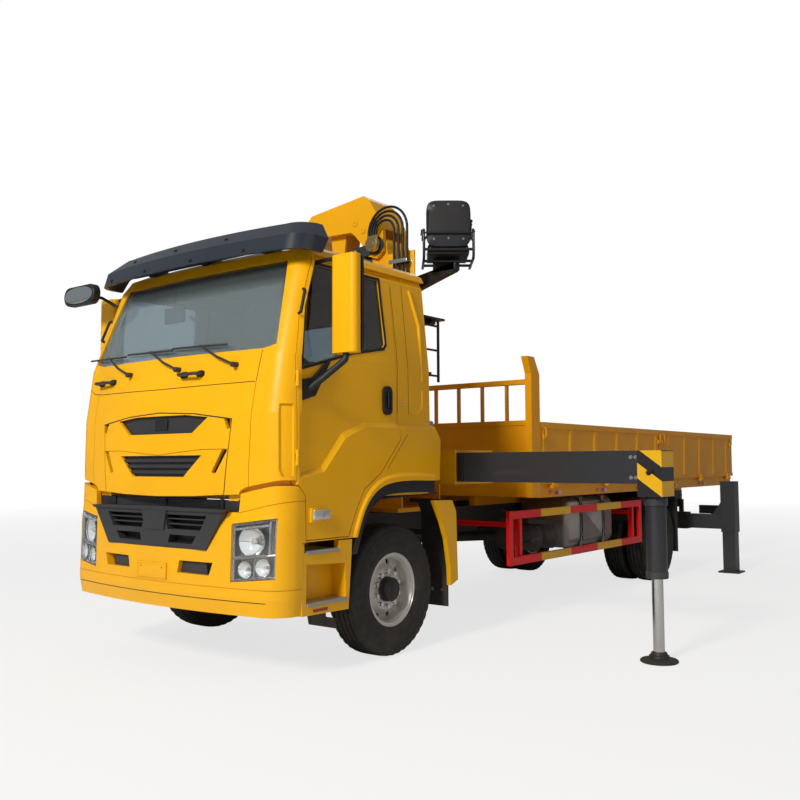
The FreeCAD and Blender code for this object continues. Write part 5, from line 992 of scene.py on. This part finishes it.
# ---- cab steps ------------------------------------------------------------------------------
# Two footholds under each door with ribbed aluminium treads, and a red reflector below.
mat_tread = material("tread_aluminium", (0.52, 0.52, 0.50), 0.36, metal=0.85, dust=0.35)
mat_red = material("red_reflector", (0.35, 0.01, 0.01), 0.2, coat=0.6, dust=0.1)
treads = bmesh.new()
red_marks = bmesh.new()
teeth = []
for side in (1, -1):
    side_box(treads, side, (0.945, -1.106, 0.9185), (1.236, -0.750, 0.9235), 0.002, 1)
    side_box(treads, side, (1.106, -1.090, 0.5525), (1.250, -0.670, 0.5575), 0.002, 1)
    side_box(treads, side, (1.2445, -1.090, 0.530), (1.2535, -0.650, 0.5575), 0.003, 1)
    side_box(treads, side, (1.2445, -1.100, 0.896), (1.2535, -0.750, 0.9235), 0.003, 1)
    side_box(red_marks, side, (1.2435, -1.02, 0.488), (1.2475, -0.87, 0.508), 0.001, 1)
    for k in range(24):
        teeth.append((at(side * 1.2545, -1.080 + 0.018 * k, 0.545), (side, 0, 0)))
        if k < 19:
            teeth.append((at(side * 1.2545, -1.090 + 0.018 * k, 0.911), (side, 0, 0)))
new_piece("step_treads", treads, mat_tread, "truck")
new_piece("step_reflectors", red_marks, mat_red, "truck")
grown("step_teeth", BLOCKS, teeth, "truck", "tank_metal", fin_width=0.003, fin_depth=0.007,
      fin_thickness=0.016, finish=mat_tread)

# ---- sun visor ------------------------------------------------------------------------------
# A dark blue-grey moulded hood on three feet over the windscreen, held by black screws; a flat
# apron closes it behind.
mat_visor = material("visor_plastic", (0.024, 0.030, 0.044), 0.30, coat=0.25, dust=0.06, grain=0.00008)
apron = bmesh.new()
soft_box(apron, at(-1.0, -0.966, 3.185), at(1.0, -0.956, 3.345), 0.003)
new_piece("visor_apron", apron, mat_visor, "truck")
dress(mat_visor, "sun_visor")
VISOR = surface_of("sun_visor")
screws = []
for x, z in ((-1.0, 3.13), (-0.45, 3.13), (0.15, 3.13), (0.72, 3.13), (-0.75, 3.27), (-0.15, 3.27),
             (0.45, 3.27)):
    hit, normal, _, _ = VISOR.ray_cast(at(x, -3.0, z), Vector((0, 1, 0)))
    if hit:
        screws.append((hit, normal if normal.y < 0 else -normal))
grown("visor_screws", BOLTS, screws, "truck", "visor_plastic", head_radius=0.012, head_height=0.008,
      washer_radius=0.019, finish=mat_black)

# ---- mudguards ------------------------------------------------------------------------------
# Black moulded arch liners and lips, and rubber flaps behind both axles.
mat_liner = material("arch_plastic", (0.020, 0.019, 0.022), 0.55, dust=0.40, grain=0.0005, grain_scale=300.0)
dress(mat_liner, "mudguards")
flap_bolts = []
for side in (1, -1):
    for x in (0.94, 1.04, 1.14):
        flap_bolts.append((at(side * x, 0.7165, 0.44), (0, -1, 0)))
        flap_bolts.append((at(side * x, 6.1925, 0.77), (0, 1, 0)))
grown("flap_bolts", BOLTS, flap_bolts, "truck", "black_plastic", finish=mat_bolt)

# ---- bed ------------------------------------------------------------------------------------
# A welded steel deck with hinged ribbed side boards and tailgate in cab yellow, worn by loads;
# a bent latch stands at each end of every side board, and the headboard guards the crane.
mat_bed = material("bed_paint", (0.80, 0.34, 0.0), 0.42, coat=0.06, dust=0.18, wear=0.35,
                   worn=(0.20, 0.10, 0.03, 1.0), waves=0.003)
dress(mat_bed, "headboard", "side_front_left", "side_front_right", "side_rear_left",
      "side_rear_right", "tailgate", "cargo_bed")


def deck_colour(w):
    """Yellow deck plate rubbed to brown primer in patches, with bare scratches along the bed."""
    where = w.place()[0]
    patches = w.remap(w.noise(where, 3.2, 6.0, 0.7), 0.40, 0.72, 0.0, 0.55)
    scratched = w.add("ShaderNodeMapping", {"Vector": where, "Scale": (30.0, 1.2, 1.0)}).outputs[0]
    lines = w.remap(w.noise(scratched, 3.0, 5.0, 0.7), 0.55, 0.7)
    worn = w.mix(lines, (0.30, 0.17, 0.05, 1.0), (0.24, 0.22, 0.20, 1.0))
    return w.mix(patches, (0.66, 0.30, 0.01, 1.0), worn)


mat_deck = material("deck_plate", deck_colour, 0.55, dust=0.5)
deck = bmesh.new()
for k in range(10):
    y = 2.345 + 0.617 * k
    soft_box(deck, at(-1.185, y, 1.3302), at(1.185, y + 0.612, 1.3335), 0.001, 1)
new_piece("deck_sheets", deck, mat_deck, "truck")
for side, hand in ((1, "left"), (-1, "right")):
    for part, y, out in (("front", 5.485, 1), ("rear", 5.635, -1), ("front", 2.40, -1), ("rear", 8.42, 1)):
        bm = bmesh.new()
        swept(bm, [at(side * 1.252, y, 1.80), at(side * 1.274, y, 1.80), at(side * 1.274, y, 1.89),
                   at(side * 1.252, y + out * 0.02, 1.90)], 0.008, 0.015, 8)
        side_box(bm, side, (1.236, y - 0.030, 1.775), (1.262, y + 0.030, 1.825), 0.005)
        which = "a" if out > 0 else "b"
        new_piece(f"latch_{part}_{hand}_{which}", bm, mat_bed, f"side_{part}_{hand}")

# ---- markers, strips and tail lamps ---------------------------------------------------------
# Amber markers and red and white reflective strips are stuck along both edges of the bed; the
# strips on the right stand 9 mm further out. Three chambers of moulded lens make each tail lamp.
markers = bmesh.new()
plates = bmesh.new()
for side in (1, -1):
    for y in (2.62, 3.75, 4.88, 6.01, 7.14, 8.27):
        x0, x1 = sorted((side * 1.1995, side * 1.214))
        soft_box(markers, at(x0, y - 0.04, 1.205), at(x1, y + 0.04, 1.240), 0.004)
        soft_box(plates, at(x0, y + 0.09, 1.204), at(x1 - side * 0.009, y + 0.23, 1.241), 0.002, 1)
new_piece("side_markers", markers, amber, "truck")


def reflex_blocks(w):
    """Red ahead and white behind on each strip."""
    _, _, y, _ = w.place()
    half = w.math("FRACT", w.math("DIVIDE", w.math("SUBTRACT", y, 2.71 - AXLE_TO_MIDDLE), 1.13))
    return w.mix(w.math("LESS_THAN", half, 0.062), (0.55, 0.56, 0.56, 1.0), (0.42, 0.012, 0.015, 1.0))


mat_strip = material("reflective_strip", reflex_blocks, 0.25, coat=0.5, dust=0.1)
new_piece("reflective_strips", plates, mat_strip, "truck")
tails = bmesh.new()
for side in (1, -1):
    for x in (0.775, 0.885, 0.995):
        side_box(tails, side, (x, 8.530, 0.738), (x + 0.098, 8.549, 0.832), 0.012, 3)


def tail_colours(w):
    """Amber outermost, then two red chambers."""
    _, x, _, _ = w.place()
    outer = w.math("GREATER_THAN", w.math("ABSOLUTE", x), 0.985)
    return w.mix(outer, (0.42, 0.008, 0.008, 1.0), (0.72, 0.22, 0.01, 1.0))


mat_tail = material("tail_lens", tail_colours, 0.14, coat=0.8, dust=0.08)
new_piece("tail_lamps", tails, mat_tail, "truck")

# ---- washer bottle --------------------------------------------------------------------------
# A blue-grey moulded bottle with a screw cap behind the cab's left corner.
mat_bottle = material("bottle_plastic", (0.22, 0.34, 0.40), 0.35, dust=0.15)
bottle = bmesh.new()
soft_box(bottle, at(1.03, 0.476, 1.79), at(1.17, 0.575, 1.905), 0.02, 3)
turn_on(bottle, at(1.10, 0.525, 1.90), (0, 0, 1),
        [(0, 0), (0.026, 0), (0.026, 0.022), (0.020, 0.026), (0, 0.026)], 20)
new_piece("washer_bottle", bottle, mat_bottle, "truck")

# ---- crane column ---------------------------------------------------------------------------
# A slewing mast of welded plate in crane yellow, held down on its pedestal by a ring of bolts.
mat_crane = material("crane_paint", (0.86, 0.42, 0.0), 0.34, coat=0.14, dust=0.08, wear=0.25,
                     worn=(0.30, 0.16, 0.04, 1.0), mottle=0.03, waves=0.002)
dress(mat_crane, "crane_column", "inner_boom", "outer_boom", "telescope", "boom_tip", "crane_base")
FLANGE_BOLTS = 20
FLANGE_RADIUS = 0.245
flange = []
for k in range(FLANGE_BOLTS):
    a = math.tau * k / FLANGE_BOLTS
    place = at(0.175 + FLANGE_RADIUS * math.cos(a), 1.235 + FLANGE_RADIUS * math.sin(a), 1.8803)
    flange.append((place, (0, 0, 1)))
grown("slew_bolts", BOLTS, flange, "column", "chrome_rod", head_radius=0.015, head_height=0.016,
      washer_radius=0.02, finish=mat_bolt)

# ---- hoses ----------------------------------------------------------------------------------
# Four stiff rubber hoses leave a brass union on the pivot pin's end, arch over one inside the
# other, and run down a board through a steel clamp into hexagon ferrules and a steel block.
# The points of each route are worked out below, from the places of its two ends.
mat_hose = material("hose_rubber", (0.012, 0.012, 0.013), 0.45, dust=0.12, grain=0.0005,
                    grain_scale=420.0)
mat_brass = material("brass_nut", (0.62, 0.46, 0.20), 0.30, metal=1.0, dust=0.12)
HOSES = 4
HOSE_DIAMETER = 0.025
HOSE_Y = 0.968
PORT_Z = 3.745
board = bmesh.new()
soft_box(board, at(0.300, 1.004, 2.64), at(0.640, 1.026, 3.58), 0.006)
soft_box(board, at(0.250, 1.020, 2.80), at(0.345, 1.110, 2.90), 0.004)
soft_box(board, at(0.235, 1.020, 3.24), at(0.325, 1.110, 3.34), 0.004)
new_piece("hose_board", board, mat_crane, "column")
clamp = bmesh.new()
soft_box(clamp, at(0.395, 0.915, 3.452), at(0.615, 0.932, 3.492), 0.004)
soft_box(clamp, at(0.395, 0.988, 3.452), at(0.615, 1.006, 3.492), 0.004)
new_piece("hose_clamp", clamp, mat_plated, "column")
union = bmesh.new()
turn_on(union, at(0.15, 0.9925, 3.70), (0, -1, 0),
        [(0, 0), (0.074, 0), (0.074, 0.046), (0.066, 0.052), (0.030, 0.052), (0.028, 0.060), (0, 0.060)], 40)
for k in range(HOSES):
    turn_on(union, at(0.105 + 0.030 * k, HOSE_Y, 3.740), (0, 0, 1),
            [(0, 0), (0.0148, 0), (0.0148, 0.042), (0.0135, 0.046), (0, 0.046)], 6)
new_piece("hose_union", union, mat_brass, "column")


def hose_route(port_x, drop_x):
    """(x, z) points up from the port, round six corners of the arch, and down to the ferrule."""
    bend = (drop_x - port_x) / 2
    step = math.radians(30.0)
    side_step = 2 * bend * math.tan(step / 2)
    reach = bend / math.cos(step / 2)
    over = []
    for i in range(6):
        a = step * (i + 0.5)
        over.append(((port_x + drop_x) / 2 - reach * math.cos(a), 3.80 + reach * math.sin(a)))
    low = over[0][1] - side_step
    rise = [(port_x, PORT_Z), (port_x, (PORT_Z + low) / 2), (port_x, low)]
    fall = [(drop_x, z) for z in (low, 3.55, 3.30, 3.03, 2.76)]
    return rise + over + fall


def drawn_length(curve):
    """Length of the smooth line that a curve draws, without its thickness."""
    thin = linked("thin_line", curve.copy())
    thin.data.bevel_depth = 0.0
    bpy.context.view_layer.update()
    line = plain_mesh(thin)
    points = [v.co for v in line.vertices]
    length = sum((points[e.vertices[0]] - points[e.vertices[1]]).length for e in line.edges)
    bpy.data.objects.remove(thin)
    return length


for k in range(HOSES):
    name = f"boom_hose_{k + 1}"
    port_x = 0.195 - 0.030 * k
    drop_x = 0.425 + 0.053 * k
    route = hose_route(port_x, drop_x)
    curve = bpy.data.curves.new(name, "CURVE")
    curve.dimensions = "3D"
    spline = curve.splines.new("NURBS")
    spline.points.add(len(route) - 1)
    for point, (x, z) in zip(spline.points, route):
        point.co = (*at(x, HOSE_Y, z), 1.0)
    spline.order_u = 3
    spline.use_endpoint_u = True
    spline.resolution_u = 10
    curve.bevel_depth = HOSE_DIAMETER / 2
    curve.bevel_resolution = 4
    curve.use_fill_caps = True
    curve.materials.append(mat_hose)
    hose = linked(name, curve)
    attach(hose, "column")
    length = drawn_length(curve)
    ferrule = bmesh.new()
    turn_on(ferrule, at(drop_x, HOSE_Y, 2.79), (0, 0, -1),
            [(0, 0), (0.0150, 0), (0.0165, 0.006), (0.0165, 0.045), (0.0185, 0.048), (0.0185, 0.080),
             (0, 0.080)], 6)
    end = new_piece(f"hose_ferrule_{k + 1}", ferrule, mat_hub, "column")
block = bmesh.new()
soft_box(block, at(0.390, 0.942, 2.650), at(0.618, 1.006, 2.714), 0.006)
new_piece("hose_block", block, mat_hub, "column")

# ---- operator's seat ------------------------------------------------------------------------
# A shell-backed seat with vinyl foam pads on a frame of bent black tube, reached by a ladder
# and turned on its stem so that the operator looks past the boom.
mat_station = material("station_paint", (0.016, 0.018, 0.024), 0.38, coat=0.2, dust=0.10, wear=0.3)
mat_shell = material("seat_shell", (0.024, 0.024, 0.027), 0.44, dust=0.12, grain=0.0004, grain_scale=260.0)
mat_vinyl = material("seat_vinyl", (0.018, 0.018, 0.020), 0.42, dust=0.10, grain=0.0004,
                     grain_scale=300.0)
SEAT_Y = 1.33
STEM = at(0.8, SEAT_Y, 0)
TURN = Matrix.Translation(STEM) @ Matrix.Rotation(math.radians(-52.0), 4, "Z") @ Matrix.Translation(-STEM)


def seat_piece(name, bm, mat):
    """Piece of the seat, turned with it on the stem."""
    bmesh.ops.transform(bm, matrix=TURN, verts=bm.verts)
    new_piece(name, bm, mat, "column")


def is_ladder(low, high):
    return high.z < 3.0


loose_parts("ladder", "operator_station", is_ladder, mat_station, "column")
arm = bmesh.new()
soft_box(arm, at(0.650, 1.290, 3.395), at(0.920, 1.370, 3.525), 0.008)
ring = [at(x, 1.29, z) for x, z in ((0.28, 3.20), (0.28, 3.36), (0.90, 3.47), (0.90, 3.39), (0.70, 3.33))]
front = [arm.verts.new(p) for p in ring]
back = [arm.verts.new(p + Vector((0, 0.08, 0))) for p in ring]
arm.faces.new(front)
arm.faces.new(list(reversed(back)))
for k in range(5):
    arm.faces.new((front[k], back[k], back[(k + 1) % 5], front[(k + 1) % 5]))
new_piece("seat_arm", arm, mat_station, "column")
tubes = bmesh.new()
for s in (-1, 1):
    y = SEAT_Y + s * 0.235
    swept(tubes, [at(0.57, y, 3.48), at(1.045, y, 3.48), at(1.045, y, 3.76), at(0.62, y, 3.76)],
          0.0135, 0.06, 12)
    swept(tubes, [at(0.97, y, 3.66), at(1.015, SEAT_Y + s * 0.20, 3.70), at(1.03, SEAT_Y + s * 0.20, 3.93)],
          0.009, 0.03, 8)
for x in (0.70, 0.90):
    swept(tubes, [at(x, 1.094, 3.48), at(x, 1.566, 3.48)], 0.0135, 0.05, 12)
swept(tubes, [at(1.047, 1.10, 3.72), at(1.047, 1.56, 3.72)], 0.0085, 0.05, 10)
swept(tubes, [at(1.045, 1.10, 3.56), at(1.045, 1.56, 3.56)], 0.0135, 0.05, 12)
seat_piece("seat_tubes", tubes, mat_station)
pan = bmesh.new()
soft_box(pan, at(0.602, 1.132, 3.522), at(1.018, 1.528, 3.560), 0.012)
soft_box(pan, at(0.57, 1.55, 3.77), at(0.86, 1.60, 3.80), 0.012, 3)
soft_box(pan, at(0.72, 1.07, 3.77), at(0.90, 1.11, 3.795), 0.010, 3)
LEVER_Y = 1.575
for x, tall in ((0.60, 0.12), (0.65, 0.10), (0.70, 0.12)):
    swept(pan, [at(x, LEVER_Y, 3.79), at(x, LEVER_Y, 3.80 + tall)], 0.006, 0.02, 8)
    turn_on(pan, at(x, LEVER_Y, 3.80 + tall), (0, 0, 1),
            [(0, -0.01), (0.012, -0.008), (0.016, 0.006), (0.010, 0.02), (0, 0.024)], 14)
seat_piece("seat_pan", pan, mat_shell)
shell = bmesh.new()
rounded_plate(shell, at(1.006, SEAT_Y, 3.815), -ALONG, UP, ACROSS, 0.425, 0.448, 0.018, 5.5, 64, 0.004)
seat_piece("seat_shell", shell, mat_shell)
back_bolts = []
for y, z in ((1.19, 3.985), (1.33, 4.000), (1.47, 3.985), (1.19, 3.665), (1.33, 3.672), (1.47, 3.665)):
    back_bolts.append((TURN @ at(1.0265, y, z), TURN.to_3x3() @ ACROSS))
grown("seat_bolts", BOLTS, back_bolts, "column", "chrome_rod", head_radius=0.007, head_height=0.005,
      washer_radius=0.011, finish=mat_plated)
foam_pad("seat_cushion", at(0.595, 1.125, 3.560), at(0.975, 1.535, 3.642), mat_vinyl, "column", TURN, 0.008)
foam_pad("seat_back_pad", at(0.945, 1.140, 3.650), at(1.003, 1.520, 4.010), mat_vinyl, "column", TURN, 0.008)

# ---- booms and cylinders --------------------------------------------------------------------
# The arm and folding boom are welded boxes; lift and fold cylinders have gloss black barrels
# and chromed rods. Pins are locked by brass-coloured nuts or capped, and collars stiffen the
# folding boom.
mat_slate = material("slate_paint", (0.038, 0.042, 0.050), 0.40, coat=0.15, dust=0.14, wear=0.35,
                     worn=(0.16, 0.15, 0.14, 1.0))
mat_barrel = material("cylinder_paint", (0.018, 0.018, 0.021), 0.28, coat=0.4, dust=0.12)
mat_chrome = material("chrome_rod", (0.62, 0.63, 0.64), 0.14, metal=1.0, dust=0.10, mottle=0.02)
dress(mat_barrel, "lift_barrel", "fold_barrel")
dress(mat_chrome, "lift_rod", "fold_rod")
dress(mat_slate, "link_plates")
dress(mat_cast, "hook")
nuts = bmesh.new()
for x, y, z, way, size in ((-0.09, 0.9945, 3.655, -1, 0.030), (-0.09, 1.4755, 3.655, 1, 0.030),
                           (0.15, 1.4555, 3.70, 1, 0.040)):
    turn_on(nuts, at(x, y, z), (0, way, 0),
            [(0, 0), (size, 0), (size, 0.012), (size * 0.8, 0.018), (size * 0.45, 0.018),
             (size * 0.42, 0.026), (0, 0.026)], 6)
new_piece("link_nuts", nuts, mat_brass, "inner_boom")
pin_caps = bmesh.new()
for x, z in ((-0.13, 3.97), (-0.03, 3.88), (0.175, 3.79)):
    for y, way in ((1.0345, -1), (1.4355, 1)):
        turn_on(pin_caps, at(x, y, z), (0, way, 0),
                [(0, 0), (0.034, 0), (0.034, 0.006), (0.029, 0.010), (0.012, 0.010), (0.012, 0.004),
                 (0, 0.004)], 28)
turn_on(pin_caps, at(-1.5, 1.0195, 3.70), (0, -1, 0), [(0, 0), (0.05, 0), (0.05, 0.008), (0, 0.008)], 24)
new_piece("arm_pin_caps", pin_caps, mat_crane, "inner_boom")
BOOM_Z = 3.742
collars = bmesh.new()
for x0, x1 in ((-2.66, -2.60), (-1.90, -1.84)):
    for y0, y1 in ((1.097, 1.106), (1.364, 1.373)):
        soft_box(collars, at(x0, y0, BOOM_Z - 0.142), at(x1, y1, BOOM_Z + 0.142), 0.003)
new_piece("boom_collars", collars, mat_crane, "outer_boom")
latch = bmesh.new()
swept(latch, [at(-2.862, 1.225, 3.427), at(-2.905, 1.225, 3.395), at(-2.935, 1.225, 3.345)], 0.006, 0.03, 8)
new_piece("hook_latch", latch, mat_plated, "hook")

# ---- outriggers -----------------------------------------------------------------------------
# Box beams in slate paint slide out of their tubes. Heads are painted with hazard bands; jack
# rods are chromed and stand on cast pads.


def hazard_bands(w):
    """Slate beam whose head has slanting yellow and black bands."""
    _, x, _, z = w.place()
    out = w.math("ABSOLUTE", x)
    slant = w.math("SUBTRACT", w.math("ADD", z, w.math("MULTIPLY", out, 0.735)), 3.512)
    band = w.math("LESS_THAN", w.math("FRACT", w.math("DIVIDE", slant, 0.232)), 0.53)
    head = w.math("MULTIPLY", w.math("GREATER_THAN", out, 2.853), w.math("GREATER_THAN", z, 1.275))
    on = w.math("MULTIPLY", w.math("MULTIPLY", band, head), w.math("GREATER_THAN", slant, 0.0))
    plain = w.mix(head, (0.024, 0.026, 0.033, 1.0), (0.012, 0.012, 0.013, 1.0))
    return w.mix(on, plain, (0.80, 0.44, 0.0, 1.0))


mat_beam = material("beam_paint", hazard_bands, 0.40, coat=0.2, dust=0.12, wear=0.4,
                    worn=(0.18, 0.16, 0.14, 1.0))
dress(mat_beam, "outrigger_beam_left", "outrigger_beam_right")
dress(mat_slate, "rear_beam_left", "rear_beam_right", "rear_leg_left", "rear_leg_right")
JACK_X = 2.945


def outrigger(side, hand, y):
    """Chromed rod, pad, glands, lock and bolts of one front outrigger."""
    foot = at(side * JACK_X, y, 0)
    rod = bmesh.new()
    turn_on(rod, foot, (0, 0, 1), [(0, 0.03), (0.0435, 0.03), (0.0435, 0.948), (0.040, 0.95), (0, 0.95)], 48)
    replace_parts(new_piece(f"jack_rod_{hand}", rod, mat_chrome, f"jack_{hand}"), f"jack_{hand}")
    pad = bmesh.new()
    turn_on(pad, foot, (0, 0, 1),
            [(0, 0.0), (0.140, 0.0), (0.145, 0.005), (0.145, 0.014), (0.138, 0.021), (0.098, 0.027),
             (0.080, 0.036), (0.076, 0.052), (0.064, 0.060), (0.060, 0.074), (0.050, 0.080), (0, 0.080)], 48)
    new_piece(f"jack_pad_{hand}", pad, mat_hub, f"jack_{hand}")
    beam = f"outrigger_beam_{hand}"
    gland = bmesh.new()
    for ring in ([(0.0815, 0.640), (0.086, 0.644), (0.086, 0.690), (0.0815, 0.694)],
                 [(0.0815, 1.200), (0.092, 1.204), (0.092, 1.262), (0.0815, 1.268)]):
        turn_on(gland, foot, (0, 0, 1), ring, 40, True)
    new_piece(f"jack_glands_{hand}", gland, mat_slate, beam)
    lock = bmesh.new()
    swept(lock, [at(side * JACK_X, y - 0.126, 1.46), at(side * JACK_X, y - 0.145, 1.46),
                 at(side * 2.985, y - 0.145, 1.475)], 0.009, 0.012, 8)
    turn_on(lock, at(side * JACK_X, y - 0.124, 1.46), (0, -1, 0),
            [(0, 0), (0.020, 0), (0.020, 0.008), (0, 0.008)], 20)
    new_piece(f"beam_lock_{hand}", lock, mat_hub, beam)
    bolts = [(at(side * x, y - 0.1205, z), (0, -1, 0)) for x in (2.80, 2.84) for z in (1.42, 1.58)]
    grown(f"beam_bolts_{hand}", BOLTS, bolts, beam, "chrome_rod", finish=mat_bolt)


outrigger(1, "left", 1.06)
outrigger(-1, "right", 1.41)

# ---- floor, world and lamps -----------------------------------------------------------------
# A plain white floor under soft daylight: one warm light, 3 m across, high ahead of the truck,
# with weaker fills from its left and from behind.
floor_mesh = bpy.data.meshes.new("floor")
floor_mesh.from_pydata([(-80, -80, 0), (80, -80, 0), (80, 80, 0), (-80, 80, 0)], [], [(0, 1, 2, 3)])
floor = linked("floor", floor_mesh)
mat_floor = bpy.data.materials.new("floor")
mat_floor.use_nodes = True
w = Wires(mat_floor.node_tree)
plain = mat_floor.node_tree.nodes["Principled BSDF"]
plain.inputs["Base Color"].default_value = (0.80, 0.80, 0.80, 1.0)
plain.inputs["Roughness"].default_value = 0.9
white = w.add("ShaderNodeEmission", {"Color": (1.0, 1.0, 1.0, 1.0), "Strength": 1.0})
ray = w.add("ShaderNodeLightPath").outputs
distance = w.add("ShaderNodeVectorMath", {0: w.place()[0]}, operation="LENGTH").outputs["Value"]
far = w.remap(distance, 7.0, 26.0, 0.74, 1.0)
share = w.math("MULTIPLY", ray["Is Camera Ray"], far)
blend = w.add("ShaderNodeMixShader", {0: share, 1: plain.outputs[0], 2: white.outputs[0]})
w.feed(mat_floor.node_tree.nodes["Material Output"].inputs["Surface"], blend.outputs[0])
floor_mesh.materials.append(mat_floor)

world = bpy.data.worlds.new("studio")
world.use_nodes = True
w = Wires(world.node_tree)
sky = world.node_tree.nodes["Background"]
ray = w.add("ShaderNodeLightPath").outputs
seen = w.math("MAXIMUM", ray["Is Camera Ray"], ray["Is Transmission Ray"])
w.feed(sky.inputs["Color"], w.mix(seen, (0.88, 0.93, 1.0, 1.0), (1.0, 1.0, 1.0, 1.0)))
w.feed(sky.inputs["Strength"], w.remap(seen, 0.0, 1.0, 0.25, 1.0))
bpy.context.scene.world = world
bpy.context.scene.view_settings.view_transform = "Standard"


def area_light(name, place, target, size, power, colour=(1.0, 1.0, 1.0)):
    data = bpy.data.lights.new(name, "AREA")
    data.size = size
    data.energy = power
    data.color = colour
    light = linked(name, data)
    light.location = place
    light.rotation_euler = (target - place).to_track_quat("-Z", "Y").to_euler()


area_light("key", at(2.9, -15.0, 10.0), at(0.0, 0.5, 1.6), 3.0, 2500.0, (1.0, 0.95, 0.86))
area_light("left_fill", at(12.0, 0.0, 6.0), at(0.0, 2.5, 1.6), 8.0, 105.0, (1.0, 0.78, 0.56))
area_light("back_fill", at(-8.0, 12.0, 9.0), at(0.0, 3.0, 1.5), 8.0, 320.0)
